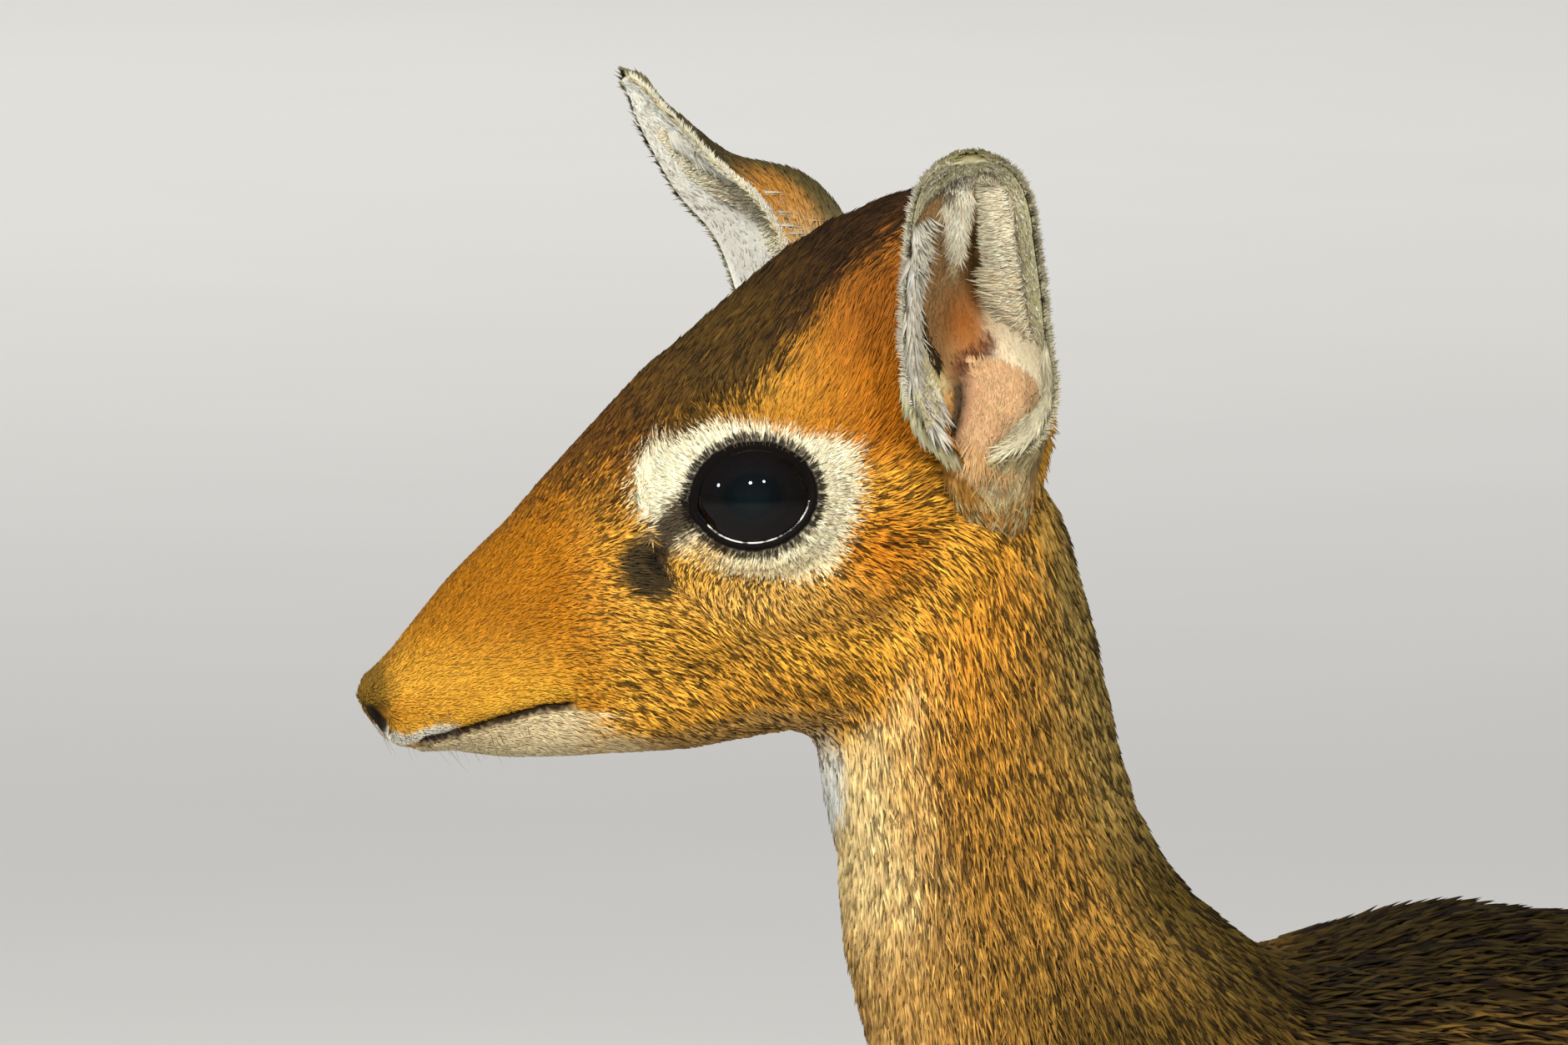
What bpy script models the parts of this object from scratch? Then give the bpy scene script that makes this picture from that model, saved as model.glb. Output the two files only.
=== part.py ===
"""A life-size female dik-dik, a dwarf antelope, standing alert with its head in profile.

The flesh is modelled whole from lofted masses, remeshed into one smooth body and then parted
with thin plane cuts into the pieces that a person would name. Ears, eyes, hooves and dew claws
are pieces of their own. Lengths are in millimetres until a mesh is made, and a mesh is in metres.

The animal faces -X, its left side is -Y, and it stands on z = 0. The outline is that of the coat.
The head has a frame of its own, level with the eye and in the plane of the head, which is turned
a little to the animal's right of the body.
"""

import math

import bmesh
import bpy
import numpy as np
from mathutils import Matrix, Vector
from mathutils.bvhtree import BVHTree

MM = 0.001
GAP = 0.3

# Driving dimensions
EYE_HEIGHT = 467.0
HEAD_PIVOT_X = 40.0
HEAD_TURN = math.radians(-12.0)
SKIN_VOXEL = 1.7
SMOOTH_ROUNDS = 12
FLESH_TRIANGLES = 5800
STANCE_FORE = 9.0
STANCE_HIND = 15.0

# Eye
EYE_RADIUS = 13.0
EYE_CENTRE = (-2.2, 19.8, 2.6)
EYE_FORWARD = math.radians(13.0)
EYE_UP = math.radians(4.0)
LID_RADIUS = 14.9
LID_OPENING = (26.4, 21.0)
LID_TILT = math.radians(6.0)

# Ear
EAR_THICK = 2.0
EAR_STEP = 0.08
EAR_ROOT_LEFT = (40.6, -19.0, 8.5)
EAR_TIP_LEFT = (31.5, -65.9, 68.9)
EAR_ROOT_RIGHT = (28.0, 19.0, 15.2)
EAR_TIP_RIGHT = (-21.4, 29.3, 77.4)
EAR_TURN_LEFT = math.radians(6.0)
EAR_TURN_RIGHT = math.radians(112.0)
EAR_LEAN = {"left": 0.35, "right": 0.50}
EAR_DEPTH = {"left": 1.0, "right": 1.3}
EAR_TWIST = {"left": 1.0, "right": -1.0}

HEAD_FRAME = (
    Matrix.Translation((HEAD_PIVOT_X, 0, EYE_HEIGHT))
    @ Matrix.Rotation(HEAD_TURN, 4, "Z")
    @ Matrix.Translation((-HEAD_PIVOT_X, 0, 0))
)
BODY_FRAME = Matrix.Identity(4)

# Stations along X: x, top, widest level, underside, half width, roundness above and below
HEAD_ROWS = (
    (-76.2, -35.4, -36.8, -38.2, 3.4, 2.0, 2.0),
    (-74.6, -33.2, -37.2, -40.4, 6.8, 2.0, 2.0),
    (-72.4, -31.2, -37.8, -43.4, 8.4, 2.0, 2.0),
    (-69.6, -28.4, -38.6, -46.2, 9.6, 1.9, 2.2),
    (-64.0, -20.9, -38.6, -47.4, 10.8, 1.8, 2.4),
    (-57.6, -13.2, -36.0, -46.6, 11.8, 1.8, 2.4),
    (-50.0, -5.9, -32.0, -45.2, 12.8, 1.8, 2.4),
    (-41.0, 4.0, -27.0, -44.0, 14.4, 1.85, 2.3),
    (-33.0, 12.2, -21.0, -44.0, 16.4, 1.9, 2.2),
    (-23.0, 22.2, -13.0, -45.0, 19.4, 2.0, 2.1),
    (-14.0, 29.3, -6.0, -45.4, 22.2, 2.1, 2.0),
    (-4.0, 37.9, 0.0, -44.4, 24.6, 2.2, 1.9),
    (8.0, 47.8, 4.0, -43.0, 25.6, 2.2, 1.9),
    (20.0, 54.4, 8.0, -40.0, 25.2, 2.1, 1.9),
    (32.0, 58.0, 12.0, -31.0, 22.8, 2.0, 2.0),
    (42.0, 55.6, 14.0, -20.0, 19.6, 2.0, 2.0),
    (50.0, 45.6, 14.0, -8.0, 16.0, 2.0, 2.0),
    (55.5, 29.0, 13.0, 2.0, 9.0, 2.0, 2.0),
)
JAW_ROWS = (
    (-60.2, -45.0, -46.0, -47.0, 3.0, 2.0, 2.0),
    (-58.0, -42.0, -45.2, -47.6, 6.4, 2.0, 2.0),
    (-52.0, -40.0, -44.6, -48.4, 8.4, 2.0, 2.0),
    (-42.0, -36.0, -43.0, -49.0, 10.4, 2.0, 2.0),
    (-30.0, -30.0, -40.0, -48.4, 12.8, 2.0, 2.0),
    (-14.0, -20.0, -36.0, -47.2, 16.0, 2.0, 1.9),
    (0.0, -10.0, -32.0, -45.2, 18.4, 2.0, 1.9),
    (12.0, -6.0, -28.0, -43.4, 18.8, 2.0, 1.9),
    (22.0, -8.0, -24.0, -38.0, 15.0, 2.0, 2.0),
    (29.0, -14.0, -22.0, -30.0, 8.0, 2.0, 2.0),
)
# Paired masses of the head: middle, radii, tilt in degrees
HEAD_MASSES = (
    ((-4.2, 14.8, 8.6), (17.0, 12.0, 13.0), 0),
    ((9.0, 17.5, -16.0), (24.0, 8.0, 8.0), -14),
    ((8.0, 13.0, -27.0), (19.0, 9.0, 15.0), 0),
    ((-59.0, 4.8, -37.0), (13.5, 8.0, 9.5), -18),
    ((-67.8, 4.4, -40.0), (6.0, 5.6, 5.8), 0),
    ((40.0, 12.5, 1.0), (12.0, 8.5, 10.0), 0),
)
TORSO_ROWS = (
    (33.5, 325.0, 317.0, 308.0, 7.0, 2.0, 2.0),
    (37.0, 336.0, 315.0, 294.0, 16.0, 2.0, 2.0),
    (45.0, 352.0, 312.0, 277.0, 25.0, 2.0, 2.0),
    (60.0, 366.0, 308.0, 260.0, 34.0, 2.0, 2.0),
    (80.0, 376.0, 306.0, 248.0, 40.5, 2.0, 2.0),
    (105.0, 381.5, 304.0, 239.0, 45.0, 1.9, 2.0),
    (135.0, 387.0, 303.0, 234.0, 48.5, 1.8, 2.1),
    (165.0, 384.0, 304.0, 233.0, 51.5, 1.8, 2.1),
    (205.0, 384.5, 305.0, 236.0, 54.0, 1.9, 2.1),
    (245.0, 389.5, 308.0, 241.0, 55.0, 1.95, 2.1),
    (285.0, 396.0, 313.0, 249.0, 53.0, 1.95, 2.0),
    (320.0, 399.5, 320.0, 259.0, 50.0, 1.95, 2.0),
    (350.0, 396.0, 328.0, 272.0, 46.0, 2.0, 2.0),
    (375.0, 386.0, 333.0, 290.0, 39.5, 2.0, 2.0),
    (394.0, 369.0, 336.0, 308.0, 29.0, 2.0, 2.0),
    (405.0, 353.0, 337.0, 322.0, 16.0, 2.0, 2.0),
    (409.0, 344.0, 337.0, 330.0, 6.0, 2.0, 2.0),
)

# Stations along Z: z, front x, back x, centre y, half width
NECK_ROWS = (
    (479.0, 25.0, 50.0, 0.0, 14.0),
    (466.0, 19.0, 58.0, 0.0, 20.5),
    (453.0, 14.5, 62.4, 0.0, 23.0),
    (440.0, 11.0, 66.2, 0.0, 24.0),
    (421.0, 9.4, 70.6, 0.0, 24.4),
    (410.0, 12.0, 73.4, 0.0, 24.8),
    (400.0, 14.6, 78.4, 0.0, 25.8),
    (391.0, 15.4, 85.0, 0.0, 27.4),
    (381.0, 16.6, 97.0, 0.0, 30.5),
    (370.0, 19.0, 112.0, 0.0, 34.0),
    (355.0, 24.0, 120.0, 0.0, 36.5),
    (335.0, 31.0, 118.0, 0.0, 36.0),
)
FORELEG_ROWS = (
    (352.0, 76.0, 106.0, 24.0, 9.0),
    (335.0, 62.0, 116.0, 29.0, 14.0),
    (310.0, 54.0, 118.0, 33.0, 16.0),
    (288.0, 56.0, 117.0, 35.0, 16.5),
    (264.0, 62.0, 116.0, 34.0, 15.5),
    (243.0, 68.0, 110.0, 32.0, 14.5),
    (225.0, 71.0, 102.0, 30.0, 12.8),
    (200.0, 72.5, 96.0, 28.5, 10.8),
    (172.0, 73.5, 91.5, 27.5, 9.2),
    (152.0, 73.0, 90.0, 27.0, 8.8),
    (138.0, 71.5, 90.5, 26.8, 9.2),
    (124.0, 73.0, 88.5, 26.6, 8.0),
    (98.0, 74.0, 87.5, 26.4, 6.6),
    (66.0, 74.0, 87.5, 26.2, 6.6),
    (50.0, 72.0, 89.5, 26.1, 7.6),
    (40.0, 70.0, 88.5, 26.0, 8.0),
    (30.0, 66.5, 83.0, 26.0, 7.8),
    (20.0, 62.0, 79.5, 26.0, 8.8),
    (8.0, 58.0, 77.0, 26.0, 9.0),
)
HINDLEG_ROWS = (
    (366.0, 322.0, 366.0, 24.0, 10.0),
    (348.0, 302.0, 386.0, 30.0, 16.0),
    (322.0, 292.0, 396.0, 35.0, 18.0),
    (296.0, 289.0, 398.0, 37.0, 18.5),
    (274.0, 290.0, 392.0, 37.0, 17.5),
    (252.0, 296.0, 384.0, 36.0, 16.0),
    (232.0, 310.0, 380.0, 34.0, 13.6),
    (212.0, 330.0, 384.0, 31.5, 11.4),
    (194.0, 349.0, 391.0, 29.5, 9.8),
    (180.0, 361.0, 397.5, 28.6, 9.0),
    (168.0, 368.0, 399.0, 28.0, 8.8),
    (154.0, 371.0, 394.0, 27.6, 8.4),
    (136.0, 370.5, 388.0, 27.2, 7.2),
    (104.0, 367.5, 382.5, 26.8, 6.8),
    (70.0, 364.5, 379.0, 26.4, 6.8),
    (51.0, 361.5, 380.0, 26.1, 7.8),
    (40.0, 359.0, 378.5, 26.0, 8.2),
    (30.0, 355.5, 373.0, 26.0, 8.0),
    (20.0, 351.0, 369.5, 26.0, 8.8),
    (8.0, 347.0, 367.0, 26.0, 9.0),
)
TAIL_ROWS = (
    (376.0, 372.0, 392.0, 0.0, 6.0),
    (368.0, 380.0, 407.0, 0.0, 9.5),
    (357.0, 392.0, 417.0, 0.0, 10.5),
    (344.0, 405.0, 423.0, 0.0, 9.6),
    (331.0, 411.0, 426.0, 0.0, 8.2),
    (320.0, 415.5, 426.5, 0.0, 5.8),
    (313.0, 419.0, 424.0, 0.0, 2.4),
)

# One claw of a hoof, from the ground up: z, toe x, heel x, centre y, half width
CLAW_ROWS = (
    (0.0, -20.5, 9.0, 0.0, 5.0),
    (4.0, -19.4, 9.4, 0.0, 5.4),
    (11.0, -16.0, 9.2, 0.0, 5.4),
    (19.0, -11.8, 8.6, 0.0, 5.0),
    (29.0, -7.0, 7.6, 0.0, 4.6),
)
CLAW_SPREAD = 5.9
CORONET_HEIGHT = 20.0
CORONET_SLOPE = math.radians(-16.0)
FORE_FOOT_X = 70.5
HIND_FOOT_X = 360.5
FOOT_Y = 26.0
KNEE_HEIGHT = 146.0
HOCK_HEIGHT = 186.0

# An ear as a rolled leaf: share of length, half width laid flat, half angle of its arc in degrees,
# depth of the cup as a share of a circle's, shift to the rear, and twist of the opening
EAR_CUP = (
    (0.00, 20.6, 166.0, 1.00, 1.8, 34.0),
    (0.09, 21.6, 162.0, 1.00, 1.8, 32.0),
    (0.15, 22.8, 146.0, 1.05, 1.6, 26.0),
    (0.21, 24.2, 124.0, 1.12, 1.0, 16.0),
    (0.28, 23.6, 106.0, 1.22, 0.5, 7.0),
    (0.40, 19.6, 86.0, 1.32, -0.3, 0.0),
    (0.55, 16.8, 73.0, 1.24, -0.3, 0.0),
)
# The root, narrower and drawn into the skull
EAR_STUMPS = {
    "left": ((-0.15, 15.6, 166.0, 1.00, 1.8, 34.0),),
    "right": ((-0.17, 14.6, 166.0, 0.80, -4.4, 34.0),),
}
# The tip, broad and round where it is seen flat on, narrower where the ear is rolled
EAR_TIPS = {
    "left": (
        (0.68, 14.6, 64.0, 1.05, -0.2, 0.0),
        (0.80, 13.0, 58.0, 1.00, 0.0, 0.0),
        (0.88, 11.0, 54.0, 1.00, 0.0, 0.0),
        (0.94, 8.3, 52.0, 1.00, 0.0, 0.0),
        (0.97, 6.0, 51.0, 1.00, 0.0, 0.0),
        (0.99, 3.6, 50.0, 1.00, 0.0, 0.0),
        (1.00, 1.6, 50.0, 1.00, 0.0, 0.0),
    ),
    "right": (
        (0.70, 13.6, 64.0, 0.72, 0.0, 0.0),
        (0.82, 9.6, 58.0, 0.60, 0.0, 0.0),
        (0.91, 6.0, 54.0, 0.60, 0.0, 0.0),
        (0.97, 3.0, 52.0, 0.80, 0.0, 0.0),
        (1.00, 1.1, 50.0, 0.80, 0.0, 0.0),
    ),
}

COLOURS = {
    "coat": (0.30, 0.17, 0.07),
    "face": (0.48, 0.24, 0.06),
    "ear": (0.46, 0.38, 0.28),
    "eye": (0.012, 0.009, 0.008),
    "horn": (0.03, 0.025, 0.022),
}


# Plane cuts: a point on the plane and its normal. The head's are in its own frame.
THROAT = (9.0, 0.0, -47.5)
NAPE = (56.0, 0.0, 7.0)
NECK_CUT = ((64.0, 0.0, 364.0), (-0.42, 0.0, 0.91))
TAIL_CUT = ((404.5, 0.0, 360.0), (0.97, 0.0, 0.24))

# A leg's prism: x from and to, its inner side's y, its top at the inner and the outer side, the joint below
LEG_CUTS = (
    ("fore", (50.0, 121.0), 6.0, (243.0, 330.0), KNEE_HEIGHT),
    ("hind", (284.0, 440.0), 5.0, (259.0, 386.0), HOCK_HEIGHT),
)
LEG_HEIGHT = 300.0
HOCK_POINT = (394.5, 28.4)
NOSTRIL = (-72.6, 5.6, -40.6)
MOUTH_FRONT = (-60.0, -43.9)
MOUTH_CORNER = (-35.0, -37.9)
MOUTH_RADIUS = 0.9
DEW_CLAW = (14.5, 5.2, 19.0)


def clear_scene():
    """Removes every object of the startup scene."""
    for old in list(bpy.data.objects):
        bpy.data.objects.remove(old)


def new_collection(name, hidden=False):
    """A collection in the scene; a hidden one holds cutters."""
    made = bpy.data.collections.new(name)
    made.hide_render = hidden
    bpy.context.scene.collection.children.link(made)
    return made


def object_from_bmesh(bm, name, collection):
    """Makes an object from a bmesh in millimetres, without changing its scale."""
    mesh = bpy.data.meshes.new(name)
    bm.to_mesh(mesh)
    bm.free()
    made = bpy.data.objects.new(name, mesh)
    collection.objects.link(made)
    return made


def curve_rows(rows, step):
    """Reads a table of stations as a smooth curve through its rows, every `step` or so."""
    table = np.array(rows, float)
    along = table[:, 0]
    slopes = np.gradient(table, along, axis=0)
    found = []
    for i in range(len(table) - 1):
        width = along[i + 1] - along[i]
        pieces = max(1, round(abs(width) / step))
        for k in range(pieces):
            t = k / pieces
            found.append(
                (2 * t**3 - 3 * t**2 + 1) * table[i]
                + (t**3 - 2 * t**2 + t) * width * slopes[i]
                + (3 * t**2 - 2 * t**3) * table[i + 1]
                + (t**3 - t**2) * width * slopes[i + 1]
            )
    found.append(table[-1])
    return found


def power(value, exponent):
    """The signed power that makes a circle squarer or more pointed."""
    return math.copysign(abs(value) ** exponent, value)


def ring_across_x(row, sides):
    """One upright section of a mass that runs along X."""
    x, top, wide, low, half, above, below = row
    points = []
    for k in range(sides):
        angle = math.tau * k / sides
        exponent = 2.0 / (above if math.sin(angle) > 0 else below)
        reach = top - wide if math.sin(angle) > 0 else wide - low
        across = half * power(math.cos(angle), exponent)
        points.append(Vector((x, across, wide + reach * power(math.sin(angle), exponent))))
    return points


def ring_across_z(row, sides, toe=2.0, heel=2.0):
    """One level section of a mass that runs along Z."""
    z, front, back, centre, half = row
    middle = (front + back) / 2
    points = []
    for k in range(sides):
        angle = math.tau * k / sides
        exponent = 2.0 / (heel if math.cos(angle) > 0 else toe)
        points.append(
            Vector((
                middle + (back - front) / 2 * power(math.cos(angle), exponent),
                centre + half * power(math.sin(angle), exponent),
                z,
            ))
        )
    return points


def loft(bm, rings, place):
    """Adds a closed loft through rings of equal count to a bmesh."""
    made = [[bm.verts.new(place @ p) for p in ring] for ring in rings]
    faces = [bm.faces.new(made[0][::-1]), bm.faces.new(made[-1])]
    for near, far in zip(made, made[1:]):
        for k in range(len(near)):
            n = (k + 1) % len(near)
            faces.append(bm.faces.new((near[k], near[n], far[n], far[k])))
    bmesh.ops.recalc_face_normals(bm, faces=faces)


def blob(bm, centre, radii, place, tilt=0.0):
    """Adds an ellipsoid, tilted about Y, to a bmesh."""
    shape = (
        place
        @ Matrix.Translation(centre)
        @ Matrix.Rotation(tilt, 4, "Y")
        @ Matrix.Diagonal((*radii, 1.0))
    )
    bmesh.ops.create_icosphere(bm, subdivisions=3, radius=1.0, matrix=shape)


def leaned(rows, side, stance, height):
    """A leg's stations on one side, moved by `stance` at the foot and not at all at `height`."""
    found = []
    for z, front, back, centre, half in rows:
        shift = stance * max(0.0, 1.0 - z / height)
        found.append((z, front + shift, back + shift, side * centre, half))
    return found


def stance_of(leg, side):
    """How far a foot stands ahead of or behind its pair's middle."""
    step = STANCE_FORE if leg == "fore" else -STANCE_HIND
    return step * side


def add_head(bm):
    """The skull and muzzle with the lower jaw, brows, cheeks, lips and the roots of the ears."""
    loft(bm, [ring_across_x(r, 32) for r in curve_rows(HEAD_ROWS, 4.0)], HEAD_FRAME)
    loft(bm, [ring_across_x(r, 28) for r in curve_rows(JAW_ROWS, 4.0)], HEAD_FRAME)
    for side in (-1, 1):
        x, y, z = EYE_CENTRE
        blob(bm, (x, side * y, z), (LID_RADIUS,) * 3, HEAD_FRAME)
        for (x, y, z), radii, tilt in HEAD_MASSES:
            blob(bm, (x, side * y, z), radii, HEAD_FRAME, math.radians(tilt))


def add_leg(bm, leg, side):
    """One leg with its shoulder or haunch, knee or hock, fetlock and pastern."""
    rows = FORELEG_ROWS if leg == "fore" else HINDLEG_ROWS
    placed = leaned(rows, side, stance_of(leg, side), LEG_HEIGHT)
    loft(bm, [ring_across_z(r, 24) for r in curve_rows(placed, 6.0)], BODY_FRAME)
    if leg == "hind":
        shift = stance_of(leg, side) * (1 - HOCK_HEIGHT / LEG_HEIGHT)
        heel = (HOCK_POINT[0] + shift, side * HOCK_POINT[1], HOCK_HEIGHT - 5)
        blob(bm, heel, (5.4, 5.0, 10.0), BODY_FRAME, math.radians(8))


def whole_flesh(collection):
    """Every mass of flesh, remeshed into one smooth closed body of few triangles."""
    bm = bmesh.new()
    add_head(bm)
    loft(bm, [ring_across_z(r, 32) for r in curve_rows(NECK_ROWS, 5.0)], BODY_FRAME)
    loft(bm, [ring_across_x(r, 40) for r in curve_rows(TORSO_ROWS, 8.0)], BODY_FRAME)
    loft(bm, [ring_across_z(r, 20) for r in curve_rows(TAIL_ROWS, 4.0)], BODY_FRAME)
    for leg in ("fore", "hind"):
        for side in (-1, 1):
            add_leg(bm, leg, side)
    made = object_from_bmesh(bm, "flesh", collection)
    fuse = made.modifiers.new("fuse", "REMESH")
    fuse.mode = "VOXEL"
    fuse.voxel_size = SKIN_VOXEL
    soften = made.modifiers.new("soften", "SMOOTH")
    soften.factor = 0.5
    soften.iterations = SMOOTH_ROUNDS
    made.data = evaluated_mesh(made)
    made.modifiers.clear()
    made.modifiers.new("split", "TRIANGULATE")
    thin = made.modifiers.new("thin", "DECIMATE")
    thin.ratio = FLESH_TRIANGLES / (2 * len(made.data.polygons))
    made.data = evaluated_mesh(made)
    made.modifiers.clear()
    return made


def evaluated_mesh(thing):
    """The object's mesh with its modifiers in it."""
    bpy.context.view_layer.update()
    graph = bpy.context.evaluated_depsgraph_get()
    return bpy.data.meshes.new_from_object(thing.evaluated_get(graph))


def boolean(thing, tool, operation):
    """Cuts, joins or intersects an object with another, and keeps the result as its mesh."""
    step = thing.modifiers.new("step", "BOOLEAN")
    step.operation = operation
    step.object = tool
    step.solver = "EXACT"
    thing.data = evaluated_mesh(thing)
    thing.modifiers.clear()


def copy_of(thing, name, collection):
    """A copy with a mesh of its own."""
    made = bpy.data.objects.new(name, thing.data.copy())
    collection.objects.link(made)
    return made


def tidy(thing):
    """Keeps the largest closed surface, in clean triangles."""
    bm = bmesh.new()
    bm.from_mesh(thing.data)
    bmesh.ops.remove_doubles(bm, verts=bm.verts, dist=0.004)
    bmesh.ops.dissolve_degenerate(bm, edges=bm.edges, dist=0.004)
    bmesh.ops.triangulate(bm, faces=bm.faces)
    left = set(bm.verts)
    islands = []
    while left:
        island = {left.pop()}
        edge = list(island)
        while edge:
            near = {e.other_vert(v) for v in edge for e in v.link_edges} - island
            island |= near
            left -= near
            edge = list(near)
        islands.append(island)
    islands.sort(key=len)
    scraps = [v for island in islands[:-1] for v in island]
    bmesh.ops.delete(bm, geom=scraps, context="VERTS")
    bm.to_mesh(thing.data)
    bm.free()


def box_region(name, cutters, at, toward, reach, spans, gap=0.0):
    """A box whose one face lies at `at`, square to `toward`, drawn back from it by `gap`."""
    direction = Vector(toward).normalized()
    turn = direction.to_track_quat("Z", "Y").to_matrix().to_4x4()
    size = Vector((spans[0], spans[1], reach))
    middle = Vector(at) + direction * (gap + reach / 2)
    bm = bmesh.new()
    place = Matrix.Translation(middle) @ turn @ Matrix.Diagonal((*size, 1.0))
    bmesh.ops.create_cube(bm, size=1.0, matrix=place)
    return object_from_bmesh(bm, name, cutters)


def leg_region(name, cutters, side, x_range, inner, tops, grow):
    """A prism round one leg, with a top that rises outwards from `tops[0]` to `tops[1]`."""
    outer = 90.0
    low = -30.0
    bm = bmesh.new()
    bmesh.ops.create_cube(bm, size=1.0)
    for v in bm.verts:
        rear, outside, upper = v.co.x > 0, v.co.y > 0, v.co.z > 0
        v.co.x = x_range[1] + grow if rear else x_range[0] - grow
        v.co.y = side * (outer if outside else inner - grow)
        v.co.z = (tops[1] if outside else tops[0]) + 1.5 * grow if upper else low
    if bm.calc_volume(signed=True) < 0:
        bmesh.ops.reverse_faces(bm, faces=bm.faces)
    return object_from_bmesh(bm, name, cutters)


def part_off(rest, name, region, grown, collection):
    """Makes a node of what lies in `region`, and takes `grown` from the rest."""
    node = copy_of(rest, name, collection)
    boolean(node, region, "INTERSECT")
    boolean(rest, grown, "DIFFERENCE")
    tidy(node)
    return node


def part_by_plane(rest, name, at, toward, reach, spans, parts, cutters):
    """Parts a node off with one thin plane cut."""
    near = box_region(name + "_region", cutters, at, toward, reach, spans, GAP / 2)
    wide = box_region(name + "_grown", cutters, at, toward, reach + 1, [s + 1 for s in spans], -GAP / 2)
    return part_off(rest, name, near, wide, parts)


def eye_axis(side):
    """The way an eye looks, in the head's frame."""
    level = math.cos(EYE_UP)
    return Vector((-math.sin(EYE_FORWARD) * level, side * math.cos(EYE_FORWARD) * level, math.sin(EYE_UP)))


def eye_point(side):
    """The middle of an eyeball, in the head's frame."""
    x, y, z = EYE_CENTRE
    return Vector((x, side * y, z))


def eye_sphere(name, collection, side, radius, rings, sides):
    """A ball at the eye's place, with its poles along the way the eye looks."""
    bm = bmesh.new()
    turn = eye_axis(side).to_track_quat("Z", "Y").to_matrix().to_4x4()
    place = HEAD_FRAME @ Matrix.Translation(eye_point(side)) @ turn
    bmesh.ops.create_uvsphere(bm, u_segments=sides, v_segments=rings, radius=radius, matrix=place)
    return object_from_bmesh(bm, name, collection)


def lid_opening(name, cutters, side):
    """An almond prism that opens the lids, pointed at the inner corner."""
    axis = eye_axis(side)
    across = Vector((0, 0, 1)).cross(axis).normalized() * side
    upward = axis.cross(across).normalized()
    if upward.z < 0:
        upward.negate()
    count = 40
    rings = []
    for depth, flare in ((3.0, 0.90), (11.0, 0.97), (26.0, 1.16)):
        ring = []
        for k in range(count):
            angle = math.tau * k / count
            along = LID_OPENING[0] / 2 * flare * math.cos(angle)
            rise = LID_OPENING[1] / 2 * flare * power(math.sin(angle), 1.0 if math.cos(angle) < 0 else 1.25)
            rise -= math.tan(LID_TILT) * max(0.0, math.cos(angle)) * LID_OPENING[1] / 4
            if across.x > 0:
                along = -along
            ring.append(eye_point(side) + axis * depth + across * along + upward * rise)
        rings.append(ring)
    bm = bmesh.new()
    loft(bm, rings, HEAD_FRAME)
    return object_from_bmesh(bm, name, cutters)


def nostril_pit(name, cutters, side):
    """A slanted comma of a pit at the tip of the muzzle."""
    bm = bmesh.new()
    x, y, z = NOSTRIL
    turned = Matrix.Rotation(side * math.radians(-28), 4, "Z")
    place = HEAD_FRAME @ Matrix.Translation((x, side * y, z)) @ turned
    blob(bm, (0, 0, 0), (3.0, 2.6, 4.0), place, math.radians(-38))
    return object_from_bmesh(bm, name, cutters)


def mouth_level(x):
    """The height of the mouth line at x in the head's frame."""
    slope = (MOUTH_CORNER[1] - MOUTH_FRONT[1]) / (MOUTH_CORNER[0] - MOUTH_FRONT[0])
    return MOUTH_FRONT[1] + slope * (x - MOUTH_FRONT[0])


def mouth_groove(name, cutters, head):
    """A thin tube sunk half into the skin along the mouth line, from one corner to the other."""
    tree = BVHTree.FromObject(head, bpy.context.evaluated_depsgraph_get())
    stations = np.linspace(MOUTH_CORNER[0] + 1, MOUTH_FRONT[0] + 2, 9)
    path = []
    for side in (-1, 1):
        reached = []
        for x in stations:
            start = HEAD_FRAME @ Vector((x, side * 40.0, mouth_level(x) + 0.6))
            inward = HEAD_FRAME.to_3x3() @ Vector((0, -side, 0))
            hit = tree.ray_cast(start, inward)[0]
            if hit:
                reached.append(hit - Vector((0, 0, 0.6)))
        path += reached if side < 0 else reached[::-1]
    curve = bpy.data.curves.new(name, "CURVE")
    curve.dimensions = "3D"
    curve.bevel_depth = MOUTH_RADIUS
    curve.bevel_resolution = 1
    curve.use_fill_caps = True
    line = curve.splines.new("POLY")
    line.points.add(len(path) - 1)
    for point, place in zip(line.points, path):
        point.co = (*place, 1.0)
    tube = bpy.data.objects.new(name + "_path", curve)
    cutters.objects.link(tube)
    bm = bmesh.new()
    bm.from_mesh(evaluated_mesh(tube))
    bmesh.ops.remove_doubles(bm, verts=bm.verts, dist=0.001)
    bmesh.ops.recalc_face_normals(bm, faces=bm.faces)
    bpy.data.objects.remove(tube)
    return object_from_bmesh(bm, name, cutters)


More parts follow.
